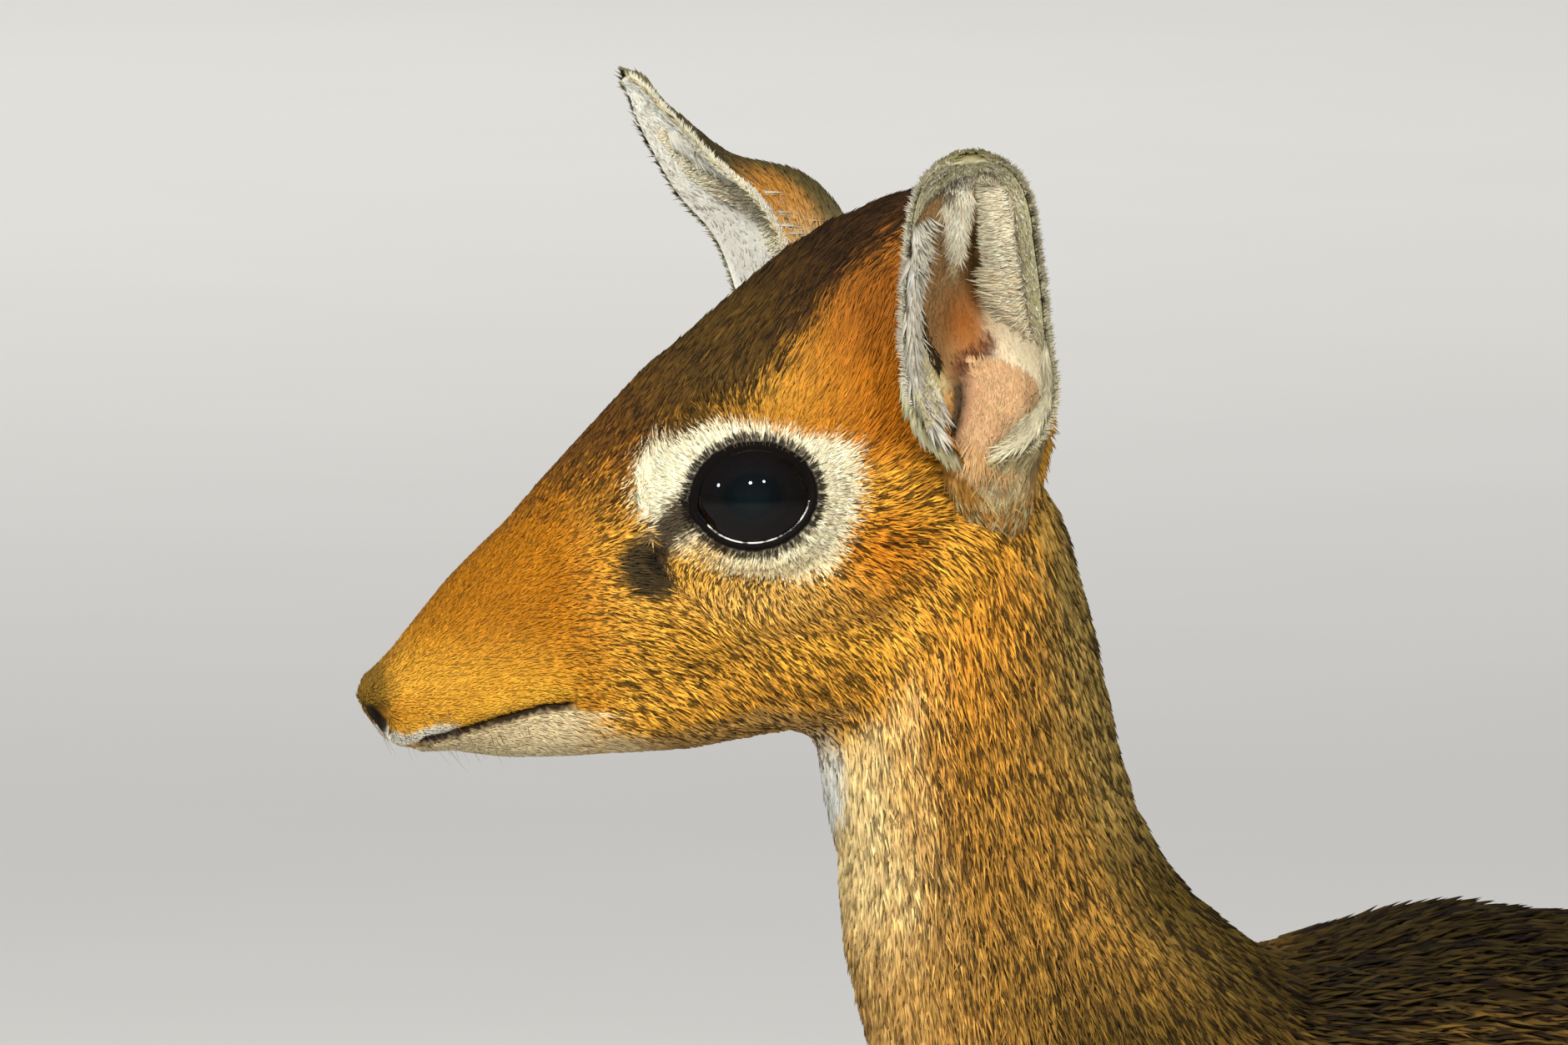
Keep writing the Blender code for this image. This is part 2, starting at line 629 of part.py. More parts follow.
def ear_leaf(word, collection, root, tip, turn):
    """A rolled leaf from `root` to `tip`, opening at `turn` from the outward side."""
    root, tip = Vector(root), Vector(tip)
    side = math.copysign(1, root.y)
    length = (tip - root).length
    axis = (tip - root) / length
    outward = Vector((0, side, 0))
    outward = (outward - axis * outward.dot(axis)).normalized()
    opening = Matrix.Rotation(turn * side, 3, axis) @ outward
    rearward = axis.cross(opening) * -side
    across = 10
    bm = bmesh.new()
    grid = []
    rows = EAR_STUMPS[word] + EAR_CUP + EAR_TIPS[word]
    for share, half, angle, depth, shift, forward in curve_rows(rows, EAR_STEP):
        arc = math.radians(angle)
        radius = half / arc
        middle = root + axis * length * share + opening * radius * EAR_LEAN[word] + rearward * shift
        depth *= EAR_DEPTH[word]
        ring = []
        for k in range(across + 1):
            around = arc * (2 * k / across - 1) + math.radians(forward) * EAR_TWIST[word]
            reach = opening * radius * depth * -math.cos(around) + rearward * radius * math.sin(around)
            ring.append(bm.verts.new(HEAD_FRAME @ (middle + reach)))
        grid.append(ring)
    for near, far in zip(grid, grid[1:]):
        for k in range(across):
            bm.faces.new((near[k], near[k + 1], far[k + 1], far[k]))
    bmesh.ops.recalc_face_normals(bm, faces=bm.faces)
    made = object_from_bmesh(bm, "ear_" + word, collection)
    wall = made.modifiers.new("wall", "SOLIDIFY")
    wall.thickness = EAR_THICK
    wall.offset = 0.0
    wall.use_even_offset = False
    made.data = evaluated_mesh(made)
    made.modifiers.clear()
    return made


def hoof_claw(name, collection, foot_x, foot_y, side):
    """One claw of a cloven hoof, flat on the ground and cut off along the coronet."""
    splay = Matrix.Rotation(side * math.radians(-3.0), 4, "Z")
    place = Matrix.Translation((foot_x, foot_y + side * CLAW_SPREAD, 0)) @ splay
    bm = bmesh.new()
    loft(bm, [ring_across_z(r, 14, 1.55, 2.4) for r in CLAW_ROWS], place)
    return object_from_bmesh(bm, name, collection)


def coronet_normal():
    """The way up from the coronet, which is higher at the front."""
    return Matrix.Rotation(CORONET_SLOPE, 3, "Y") @ Vector((0, 0, 1))


def finish_mesh(thing):
    """Brings a mesh from millimetres to metres and shades it smooth."""
    tidy(thing)
    thing.data.transform(Matrix.Scale(MM, 4))
    thing.data.shade_smooth()


def material(name, colour, roughness):
    """A plain Principled material."""
    made = bpy.data.materials.new(name)
    made.use_nodes = True
    shader = made.node_tree.nodes["Principled BSDF"]
    shader.inputs["Base Color"].default_value = (*colour, 1.0)
    shader.inputs["Roughness"].default_value = roughness
    return made


def part_body(flesh, parts, cutters):
    """Parts the whole flesh into head, jaw, neck, tail, legs and torso."""
    turned = HEAD_FRAME.to_3x3()
    throat = Vector(THROAT)
    seam = Vector(NAPE) - throat
    ahead = Vector((-seam.z, 0, seam.x)).normalized()
    middle = throat + seam * 0.5
    nodes = {}
    at = HEAD_FRAME @ middle
    nodes["head"] = part_by_plane(flesh, "head", at, turned @ ahead, 190, (220, 240), parts, cutters)
    nodes["neck"] = part_by_plane(flesh, "neck", *NECK_CUT, 150, (170, 170), parts, cutters)
    nodes["tail"] = part_by_plane(flesh, "tail", *TAIL_CUT, 60, (60, 120), parts, cutters)
    for leg, x_range, inner, tops, knee in LEG_CUTS:
        for side, word in ((-1, "left"), (1, "right")):
            upper, lower = f"{leg}leg_upper_{word}", f"{leg}leg_lower_{word}"
            near = leg_region(upper + "_region", cutters, side, x_range, inner, tops, -GAP / 2)
            wide = leg_region(upper + "_grown", cutters, side, x_range, inner, tops, GAP / 2)
            nodes[upper] = part_off(flesh, upper, near, wide, parts)
            at = (x_range[0] + 60.0, side * FOOT_Y, knee)
            nodes[lower] = part_by_plane(nodes[upper], lower, at, (0, 0, -1), 200, (240, 100), parts, cutters)
    flesh.name = "torso"
    nodes["torso"] = flesh
    corner = Vector((MOUTH_CORNER[0], 0, MOUTH_CORNER[1]))
    below = Vector((mouth_level(1.0) - mouth_level(0.0), 0, -1.0))
    nodes["lower_jaw"] = part_by_plane(
        nodes["head"], "lower_jaw", HEAD_FRAME @ corner, turned @ below, 60, (200, 200), parts, cutters
    )
    return nodes


def open_face(head, jaw, cutters):
    """Opens the eye sockets, the lids, the nostrils and the line of the mouth."""
    groove = mouth_groove("mouth_groove", cutters, head)
    for side, word in ((-1, "left"), (1, "right")):
        boolean(head, eye_sphere("lid_" + word, cutters, side, LID_RADIUS, 14, 24), "UNION")
        boolean(head, lid_opening("lids_" + word, cutters, side), "DIFFERENCE")
        boolean(head, eye_sphere("socket_" + word, cutters, side, EYE_RADIUS + GAP, 14, 24), "DIFFERENCE")
        boolean(head, nostril_pit("nostril_" + word, cutters, side), "DIFFERENCE")
    boolean(head, groove, "DIFFERENCE")
    boolean(jaw, groove, "DIFFERENCE")


def add_feet(nodes, parts, cutters):
    """Hooves and dew claws, with the pasterns cut square to the coronet."""
    up = coronet_normal()
    for leg, foot_x in (("fore", FORE_FOOT_X), ("hind", HIND_FOOT_X)):
        for side, word in ((-1, "left"), (1, "right")):
            shift = stance_of(leg, side)
            at = Vector((foot_x + shift, side * FOOT_Y, CORONET_HEIGHT))
            name = f"{leg}_{word}"
            shank = nodes[f"{leg}leg_lower_{word}"]
            boolean(shank, box_region(name + "_sole", cutters, at, -up, 60, (90, 60), -GAP / 2), "DIFFERENCE")
            above = box_region(name + "_above", cutters, at, up, 60, (90, 60), -GAP / 2)
            for claw_side, which in ((-side, "inner"), (side, "outer")):
                claw = hoof_claw(f"hoof_{name}_{which}", parts, at.x, at.y, claw_side)
                boolean(claw, above, "DIFFERENCE")
                nodes[claw.name] = claw
            for claw_side, which in ((-side, "inner"), (side, "outer")):
                button = dew_claw(f"dewclaw_{name}_{which}", parts, cutters, shank, at, claw_side)
                nodes[button.name] = button


def dew_claw(name, parts, cutters, shank, foot, side):
    """A small horn button behind the fetlock, its root cut to the leg's surface."""
    bm = bmesh.new()
    behind, beside, above = DEW_CLAW
    place = Matrix.Translation((foot.x + behind, foot.y + side * beside, foot.z + above))
    shape = place @ Matrix.Rotation(math.radians(-30), 4, "Y") @ Matrix.Diagonal((3.6, 2.8, 5.6, 1.0))
    bmesh.ops.create_uvsphere(bm, u_segments=8, v_segments=6, radius=1.0, matrix=shape)
    claw = object_from_bmesh(bm, name, parts)
    boolean(claw, grown_copy(shank, name + "_root", cutters), "DIFFERENCE")
    return claw


def grown_copy(thing, name, cutters):
    """A copy swollen by the gap that touching pieces keep."""
    made = copy_of(thing, name, cutters)
    swell = made.modifiers.new("swell", "DISPLACE")
    swell.strength = GAP
    swell.mid_level = 0.0
    made.data = evaluated_mesh(made)
    made.modifiers.clear()
    return made


def add_ears(nodes, flesh_copy, parts, cutters):
    """The two ears, their roots cut to the head's surface."""
    skull = grown_copy(flesh_copy, "ear_root_surface", cutters)
    for word, root, tip, turn in (
        ("left", EAR_ROOT_LEFT, EAR_TIP_LEFT, EAR_TURN_LEFT),
        ("right", EAR_ROOT_RIGHT, EAR_TIP_RIGHT, EAR_TURN_RIGHT),
    ):
        ear = ear_leaf(word, parts, root, tip, turn)
        boolean(ear, skull, "DIFFERENCE")
        nodes[ear.name] = ear


def finish_of(name):
    """Which finish a node has."""
    if name.startswith("eye"):
        return "eye"
    if name.startswith(("hoof", "dewclaw")):
        return "horn"
    if name.startswith("ear"):
        return "ear"
    return "face" if name in ("head", "lower_jaw") else "coat"


def stand_on_origin(nodes):
    """Moves everything so that the origin is under the middle of the whole animal."""
    corners = np.array([v.co for node in nodes.values() for v in node.data.vertices])
    low, high = corners.min(axis=0), corners.max(axis=0)
    middle = (low + high) / 2
    shift = Matrix.Translation((-middle[0], -middle[1], -low[2]))
    for node in nodes.values():
        node.data.transform(shift)


def main():
    clear_scene()
    parts = new_collection("dik_dik")
    cutters = new_collection("cutters", hidden=True)
    flesh = whole_flesh(parts)
    uncut = copy_of(flesh, "uncut", cutters)
    nodes = part_body(flesh, parts, cutters)
    open_face(nodes["head"], nodes["lower_jaw"], cutters)
    for side, word in ((-1, "left"), (1, "right")):
        nodes["eye_" + word] = eye_sphere("eye_" + word, parts, side, EYE_RADIUS, 12, 20)
    add_ears(nodes, uncut, parts, cutters)
    add_feet(nodes, parts, cutters)
    finishes = {
        name: material(name, colour, 0.08 if name == "eye" else 0.85) for name, colour in COLOURS.items()
    }
    for name, node in nodes.items():
        finish_mesh(node)
        node.name = name
        node.data.materials.clear()
        node.data.materials.append(finishes[finish_of(name)])
    stand_on_origin(nodes)
    for cutter in list(cutters.objects):
        cutter.hide_render = True
        cutter.display_type = "WIRE"


main()
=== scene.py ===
# %% [markdown]
# # A dik-dik and its coat
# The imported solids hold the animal's outline, out to the tips of its hair. This script loads
# them as a fixed frame and dresses them: one skin that lies a coat's depth inside, eyes and
# lids, ears, horn on the feet, and short hair in solid tufts that follow the lie of the coat.

import math

import bmesh
import bpy
import numpy as np
from mathutils import Matrix, Vector
from mathutils.bvhtree import BVHTree


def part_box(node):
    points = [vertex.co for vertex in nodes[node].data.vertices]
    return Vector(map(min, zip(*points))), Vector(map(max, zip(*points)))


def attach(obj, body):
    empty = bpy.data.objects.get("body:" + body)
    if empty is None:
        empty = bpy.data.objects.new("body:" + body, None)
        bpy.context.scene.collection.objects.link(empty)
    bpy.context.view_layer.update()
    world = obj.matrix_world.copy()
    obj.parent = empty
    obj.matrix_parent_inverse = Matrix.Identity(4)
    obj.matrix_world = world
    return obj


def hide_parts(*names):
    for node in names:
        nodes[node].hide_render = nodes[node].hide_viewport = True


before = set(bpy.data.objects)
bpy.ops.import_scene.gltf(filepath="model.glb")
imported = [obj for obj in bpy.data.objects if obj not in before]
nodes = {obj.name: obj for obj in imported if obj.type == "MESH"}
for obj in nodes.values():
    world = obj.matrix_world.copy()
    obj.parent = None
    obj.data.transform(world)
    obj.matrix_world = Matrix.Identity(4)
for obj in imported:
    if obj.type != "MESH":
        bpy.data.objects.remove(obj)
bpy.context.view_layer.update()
MM = 0.001
SEED = 11
print(len(nodes), "solids loaded")

# %% [markdown]
# Everything on the head is measured in millimetres from a point between the eyes, with x
# towards the nape, y towards the animal's right and z up. The head is turned on its neck, so
# the two eye solids give the turn and the place of that measuring frame.

# %% The head's own measuring frame
EYE_CENTRE = (-2.2, 19.8, 2.6)


def middle_of(name):
    """The centre of a node's box."""
    low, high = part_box(name)
    return (low + high) / 2


across = middle_of("eye_right") - middle_of("eye_left")
HEAD_TURN = math.atan2(-across.x, across.y)
TURN = np.array(Matrix.Rotation(HEAD_TURN, 3, "Z"))
between = np.array((middle_of("eye_right") + middle_of("eye_left")) / 2)
HEAD_ORIGIN = between - TURN @ np.array((EYE_CENTRE[0], 0, EYE_CENTRE[2])) * MM


def to_world(points):
    """Head millimetres to world metres."""
    return np.asarray(points, float) @ TURN.T * MM + HEAD_ORIGIN


def to_head(points):
    """World metres to head millimetres."""
    return (np.asarray(points, float) - HEAD_ORIGIN) / MM @ TURN


print("head turned", round(math.degrees(HEAD_TURN), 1), "degrees")

# %% [markdown]
# Most of this animal is numbers before it is a mesh. A few short functions fade one value
# into another, turn arrays into meshes and back, and hang a finished piece on the body.

# %% Small tools for numbers


def ease(low, high, value):
    """0 below low, 1 above high, and a smooth step between."""
    t = np.clip((np.asarray(value, float) - low) / (high - low), 0.0, 1.0)
    return t * t * (3 - 2 * t)


def bell(value, centre, width):
    """1 at the centre, fading on both sides."""
    return np.exp(-(((np.asarray(value, float) - centre) / width) ** 2))


def read_off(line, place):
    """The height of a drawn line, given by its corners, at each place."""
    return np.interp(place, *zip(*line))


def unit(vectors):
    """Vectors of length one."""
    return vectors / np.maximum(np.linalg.norm(vectors, axis=-1, keepdims=True), 1e-12)


def laid_flat(ways, normal):
    """Directions laid flat on the surface that has the normals."""
    return unit(ways - normal * (ways * normal).sum(1, keepdims=True))


def tone(red, green, blue):
    """A screen colour, 0 to 255, as linear light."""
    c = np.array((red, green, blue)) / 255
    return np.where(c <= 0.04045, c / 12.92, ((c + 0.055) / 1.055) ** 2.4)


print("halfway between 0 and 1:", float(ease(0, 1, 0.5)))

# %% Small tools for meshes


def mesh_of(name, points, faces):
    """A smooth mesh from arrays of points and of equal-sided faces."""
    mesh = bpy.data.meshes.new(name)
    faces = np.asarray(faces, np.int32)
    mesh.vertices.add(len(points))
    mesh.vertices.foreach_set("co", np.asarray(points, np.float32).ravel())
    mesh.loops.add(faces.size)
    mesh.loops.foreach_set("vertex_index", faces.ravel())
    mesh.polygons.add(len(faces))
    mesh.polygons.foreach_set("loop_start", np.arange(0, faces.size, faces.shape[1], dtype=np.int32))
    mesh.update(calc_edges=True)
    mesh.shade_smooth()
    return mesh


def band_quads(rows, turns):
    """Quads between the rows of closed rings, and the numbers of the points row by row."""
    index = np.arange(rows * turns).reshape(rows, turns)
    near, far = index[:-1], index[1:]
    quads = np.stack([near, np.roll(near, -1, 1), np.roll(far, -1, 1), far], -1).reshape(-1, 4)
    return quads, index


def closed_mesh(name, points, faces):
    """A smooth closed mesh from points and faces of any number of sides, facing outwards."""
    bm = bmesh.new()
    vertices = [bm.verts.new(p) for p in points]
    for face in faces:
        bm.faces.new([vertices[i] for i in face])
    bmesh.ops.triangulate(bm, faces=[f for f in bm.faces if len(f.verts) > 4])
    bmesh.ops.recalc_face_normals(bm, faces=bm.faces)
    mesh = bpy.data.meshes.new(name)
    bm.to_mesh(mesh)
    bm.free()
    mesh.shade_smooth()
    return mesh


def paint(mesh, **values):
    """Writes named values on a mesh's points: one number or one colour each."""
    for name, value in values.items():
        value = np.asarray(value, np.float32)
        if value.ndim == 2:
            field = mesh.attributes.new(name, "FLOAT_COLOR", "POINT")
            rgba = np.ones((len(value), 4), np.float32)
            rgba[:, :3] = value
            field.data.foreach_set("color", rgba.ravel())
        else:
            field = mesh.attributes.new(name, "FLOAT", "POINT")
            field.data.foreach_set("value", value)


def placed(name, data):
    """A new object in the scene, at the origin, that shows the mesh, lamp or camera."""
    thing = bpy.data.objects.new(name, data)
    bpy.context.scene.collection.objects.link(thing)
    return thing


def kept_mesh(thing):
    """What an object's modifiers make of it, as a plain mesh. The object is removed."""
    bpy.context.view_layer.update()
    made = bpy.data.meshes.new_from_object(thing.evaluated_get(bpy.context.evaluated_depsgraph_get()))
    bpy.data.objects.remove(thing)
    return made


def piece_of(name, mesh, material):
    """A finished piece: linked, given its material and riding on the body."""
    thing = placed(name, mesh)
    mesh.materials.clear()
    mesh.materials.append(material)
    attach(thing, "root")
    print(name, len(mesh.polygons), "faces")
    return thing


def points_of(mesh):
    """A mesh's points as an array."""
    flat = np.empty(len(mesh.vertices) * 3, np.float32)
    mesh.vertices.foreach_get("co", flat)
    return flat.reshape(-1, 3).astype(float)


def normals_of(mesh):
    """A mesh's point normals as an array."""
    flat = np.empty(len(mesh.vertices) * 3, np.float32)
    mesh.vertex_normals.foreach_get("vector", flat)
    return flat.reshape(-1, 3).astype(float)


def indices_of(items, width):
    """Vertex numbers of edges or of triangles as an array."""
    flat = np.empty(len(items) * width, np.int32)
    items.foreach_get("vertices", flat)
    return flat.reshape(-1, width)


def spread(values, edges, rounds, share=0.5):
    """Evens values out along a mesh's edges."""
    values = np.array(values, float)
    flat = values.reshape(len(values), -1)
    ends = np.concatenate([edges[:, 0], edges[:, 1]])
    others = np.concatenate([edges[:, 1], edges[:, 0]])
    count = np.maximum(np.bincount(ends, minlength=len(values)), 1)
    for _ in range(rounds):
        for k in range(flat.shape[1]):
            mean = np.bincount(ends, weights=flat[others, k], minlength=len(values)) / count
            flat[:, k] += share * (mean - flat[:, k])
    return flat.reshape(values.shape)


print("mesh tools ready")

# %% [markdown]
# ## The skin
# Under its hair the animal is one unbroken surface, so the flesh solids are copied, swollen
# just enough to close the thin gaps that part them, and remeshed into one skin. The head
# keeps the fine mesh. The rest is thinned, because the coat hides it.

# %% Join the flesh into one surface
SKIN_VOXEL = 0.00105
SKIN_SWELL = 0.00027
SKIN_TRIANGLES = 176000
LEGS = [f"{leg}_{part}_{side}" for leg in ("foreleg", "hindleg") for part in ("upper", "lower")
        for side in ("left", "right")]
FLESH = ["head", "lower_jaw", "neck", "torso", "tail", *LEGS]


def swollen(name, swell):
    """A copy of a node's mesh, with its loose triangles merged and its surface moved out."""
    bm = bmesh.new()
    bm.from_mesh(nodes[name].data)
    bmesh.ops.remove_doubles(bm, verts=bm.verts, dist=1e-6)
    bm.normal_update()
    moves = [v.normal * swell for v in bm.verts]
    for v, move in zip(bm.verts, moves):
        v.co += move
    mesh = bpy.data.meshes.new(name + "_copy")
    bm.to_mesh(mesh)
    bm.free()
    return mesh


flesh = bmesh.new()
for name in FLESH:
    copy = swollen(name, SKIN_SWELL)
    flesh.from_mesh(copy)
    bpy.data.meshes.remove(copy)
flesh_mesh = bpy.data.meshes.new("flesh")
flesh.to_mesh(flesh_mesh)
flesh.free()
holder = placed("flesh", flesh_mesh)
remesh = holder.modifiers.new("remesh", "REMESH")
remesh.mode = "VOXEL"
remesh.voxel_size = SKIN_VOXEL
whole = kept_mesh(holder)
print("joined skin", len(whole.polygons), "faces")

# %% [markdown]
# A voxel remesh leaves small steps. Smoothing pulls each point towards its neighbours, and a
# slightly stronger push back keeps the form from shrinking. A vertex group then tells the
# Decimate modifier where it may thin the mesh, so that the face keeps its detail.

# %% Smooth it, and thin the parts below the head
SMOOTH_PASSES, SHRINK, SWELL_BACK = 4, 0.55, -0.58
edges = indices_of(whole.edges, 2)
smoothed = points_of(whole)
for _ in range(SMOOTH_PASSES):
    smoothed = spread(smoothed, edges, 1, SHRINK)
    smoothed = spread(smoothed, edges, 1, SWELL_BACK)
whole.vertices.foreach_set("co", smoothed.astype(np.float32).ravel())
at_head = to_head(smoothed)
keep = ease(52, 40, at_head[:, 0]) * ease(-62, -52, at_head[:, 2])
holder = placed("holder", whole)
group = holder.vertex_groups.new(name="thin")
for level in np.linspace(0.1, 1.0, 10):
    chosen = np.nonzero(np.abs((1 - keep) - level) <= 0.05)[0]
    group.add(chosen.tolist(), float(level), "REPLACE")
thinner = holder.modifiers.new("thinner", "DECIMATE")
thinner.ratio = SKIN_TRIANGLES / (2 * len(whole.polygons))
thinner.vertex_group = "thin"
skin_mesh = kept_mesh(holder)
bm = bmesh.new()
bm.from_mesh(skin_mesh)
bmesh.ops.triangulate(bm, faces=bm.faces)
bm.to_mesh(skin_mesh)
bm.free()
print("skin", len(skin_mesh.polygons), "triangles")

# %% [markdown]
# Each skin point learns which part of the body it belongs to by asking for the nearest
# solid. Spreading those answers along the mesh gives soft borders, so the length, depth and
# colour of the coat change gradually from one part to the next.

# %% Which part of the body each skin point belongs to
REGIONS = ("head", "neck", "torso", "tail", "upper_leg", "lower_leg")
BORDER_ROUNDS = 24


def region_of(name):
    """The region's number for a flesh node."""
    if name in ("head", "lower_jaw"):
        return 0
    if "leg" in name:
        return 4 if "upper" in name else 5
    return REGIONS.index(name)


def all_head(count):
    """Region shares for points that all lie on the head."""
    region = np.zeros((count, len(REGIONS)))
    region[:, 0] = 1
    return region


corner_list, face_list, face_region = [], [], []
for name in FLESH:
    data = nodes[name].data
    base = len(corner_list)
    corner_list += [tuple(v.co) for v in data.vertices]
    for polygon in data.polygons:
        face_list.append([base + i for i in polygon.vertices])
        face_region.append(region_of(name))
solids = BVHTree.FromPolygons(corner_list, face_list)
skin_points = points_of(skin_mesh)
skin_edges = indices_of(skin_mesh.edges, 2)
skin_triangles = indices_of(skin_mesh.polygons, 3)
labels = np.zeros((len(skin_points), len(REGIONS)))
for i, point in enumerate(skin_points):
    labels[i, face_region[solids.find_nearest(point)[2]]] = 1
skin_region = spread(labels, skin_edges, BORDER_ROUNDS)
print({name: round(float(skin_region[:, k].sum())) for k, name in enumerate(REGIONS)})

# %% [markdown]
# ## Eyes: the frame they sit in
# A dik-dik's eye is very large, and looks out and a little forward. Lids, eyeball and the
# hollow in the skin all share one set of directions: the way the eye looks, back and up.

# %% Directions around an eye
EYE_FORWARD, EYE_UP, LID_TILT = math.radians(13), math.radians(4), math.radians(6)
SIDES = {"left": -1, "right": 1}
OPENING = {"back": 54.5, "front": 57.0, "top": 42.5, "bottom": 44.0}
CORNER_REACH = 6.0


def eye_frame(sign):
    """Centre, and the looking, back and up directions of one eye, in head millimetres."""
    centre = np.array((EYE_CENTRE[0], sign * EYE_CENTRE[1], EYE_CENTRE[2]))
    look = np.array((-math.sin(EYE_FORWARD) * math.cos(EYE_UP),
                     sign * math.cos(EYE_FORWARD) * math.cos(EYE_UP), math.sin(EYE_UP)))
    back = unit(np.array((1.0, 0, 0)) - look * look[0])
    up = unit(np.array((0, 0, 1.0)) - look * look[2] - back * back[2])
    turned_back = back * math.cos(LID_TILT) + up * math.sin(LID_TILT)
    turned_up = up * math.cos(LID_TILT) - back * math.sin(LID_TILT)
    return centre, look, turned_back, turned_up


def margin(phi):
    """The lids' edge: its angle from the looking direction, in degrees, all round the eye."""
    wide = np.where(np.cos(phi) > 0, OPENING["back"], OPENING["front"])
    high = np.where(np.sin(phi) > 0, OPENING["top"], OPENING["bottom"])
    turn = (np.degrees(phi) - 188 + 180) % 360 - 180
    return 1 / np.hypot(np.cos(phi) / wide, np.sin(phi) / high) + CORNER_REACH * bell(turn, 0, 11)


def around_eye(points, sign):
    """Distance, angle from the looking direction and turn around it, of head points."""
    centre, look, back, up = eye_frame(sign)
    away = points - centre
    reach = np.linalg.norm(away, axis=1)
    theta = np.degrees(np.arccos(np.clip(away @ look / np.maximum(reach, 1e-6), -1, 1)))
    return reach, theta, np.arctan2(away @ up, away @ back)


def from_eye(reach, theta, phi, sign):
    """Head points at the given distance, angle and turn, each an array of one shape."""
    centre, look, back, up = eye_frame(sign)
    theta = np.radians(theta)[..., None]
    phi = np.asarray(phi)[..., None]
    ray = look * np.cos(theta) + (back * np.cos(phi) + up * np.sin(phi)) * np.sin(theta)
    return centre + ray * np.asarray(reach)[..., None]


print("eyes look", round(math.degrees(EYE_FORWARD)), "degrees forward of straight out")

# %% [markdown]
# ## Depth of the coat
# The solids include the hair, so the skin is drawn in by the coat's depth: almost nothing on
# the velvety muzzle, about four millimetres on the neck and back. It also sinks behind the
# eyes, where the lids cover it, and along the line of the mouth.

# %% Mouth, nostrils and gland
MOUTH_LINE = ((-61.5, -43.8), (-53.5, -41.6), (-47.2, -39.8), (-41.0, -38.2), (-36.2, -37.9))
NOSTRIL = (-72.8, 5.6, -40.8)
NOSTRIL_REACH = (3.2, 1.35)
GLAND = (-23.2, -9.6)
BODY_DEPTH = np.array((1.2, 3.0, 4.2, 3.0, 2.4, 1.1))
MOUTH_DEPTH = 1.2
SOCKET_REACH, SOCKET_FIELD = 12.2, 22


def mouth_height(x):
    """Height of the mouth line at a place along the head."""
    (x0, z0), (x1, z1) = MOUTH_LINE[:2]
    ahead = np.minimum(x - x0, 0) * (z1 - z0) / (x1 - x0)
    return read_off(MOUTH_LINE, x) + ahead


def mouth_mask(p, width):
    """1 on the line of the mouth and 0 a little away from it."""
    corner = MOUTH_LINE[-1][0]
    along = ease(corner + 0.8, corner - 0.8, p[:, 0]) * ease(-67.5, -64.5, p[:, 0])
    return bell(p[:, 2], mouth_height(p[:, 0]), width) * along


def nostril_share(p):
    """0 in the middle of a nostril and 1 at the edge of its slanted comma."""
    x, z = p[:, 0] - NOSTRIL[0], p[:, 2] - NOSTRIL[2]
    along, beside = 0.51 * x - 0.86 * z, 0.86 * x + 0.51 * z
    share = np.hypot(along / NOSTRIL_REACH[0], (beside + 0.06 * along ** 2) / NOSTRIL_REACH[1])
    return np.where(np.abs(p[:, 1]) > 1.6, share, 9.0)


print("mouth line", round(MOUTH_LINE[-1][0] - MOUTH_LINE[0][0], 1), "mm long on each side")

# %% Draw the skin in by the coat's depth


def coat_depth(p, region):
    """How far the skin lies inside the solids, in millimetres."""
    face = 0.25 + 0.35 * ease(-62, -30, p[:, 0]) + 0.7 * ease(-18, 30, p[:, 0])
    face += 0.35 * ease(14, 30, p[:, 2]) * ease(-30, -10, p[:, 0])
    depth = region @ BODY_DEPTH + region[:, 0] * (face - BODY_DEPTH[0])
    for sign in SIDES.values():
        reach, theta, phi = around_eye(p, sign)
        depth *= ease(13.5, 22, reach)
    return depth


skin_head = to_head(skin_points)
skin_normal = unit(spread(normals_of(skin_mesh), skin_edges, 2))
depth = coat_depth(skin_head, skin_region)
depth += MOUTH_DEPTH * mouth_mask(skin_head, 0.8) * skin_region[:, 0]
skin_points = skin_points - skin_normal * depth[:, None] * MM
skin_mesh.vertices.foreach_set("co", skin_points.astype(np.float32).ravel())
skin_mesh.update()
skin_head = to_head(skin_points)
print("coat depth", round(float(depth.min()), 2), "to", round(float(depth.max()), 2), "mm")

# %% [markdown]
# The skin under an eye would show through the eyeball. Its points are pushed down along their
# own rays from the middle of the eye, which makes a socket and keeps the mesh in one piece.

# %% Sink the skin behind the eyes
open_skin = BVHTree.FromPolygons(skin_head.tolist(), skin_triangles.tolist())
for sign in SIDES.values():
    reach, theta, phi = around_eye(skin_head, sign)
    beyond = theta - margin(phi)
    sunk = np.where(reach < SOCKET_FIELD, ease(21, 15, beyond), 0)
    wanted = np.minimum(reach, SOCKET_REACH)
    moved = from_eye(reach + (wanted - reach) * sunk, theta, phi, sign)
    skin_head = np.where((sunk > 0)[:, None], moved, skin_head)
skin_points = to_world(skin_head)
skin_mesh.vertices.foreach_set("co", skin_points.astype(np.float32).ravel())
skin_mesh.update()
skin_normal = unit(spread(normals_of(skin_mesh), skin_edges, 1))
print("socket of the last eye:", int((sunk > 0).sum()), "points moved")

# %% [markdown]
# ## Markings
# One function gives the colour of the animal at any point, so that skin, lids and hair
# always agree. Each marking is a soft mask with a name: the cream ring round the eye, the
# dark tear gland in front of it, the dark cap of the head, the pale chin and throat. The
# second result says how strongly the hair is ticked, that is banded dark and light.

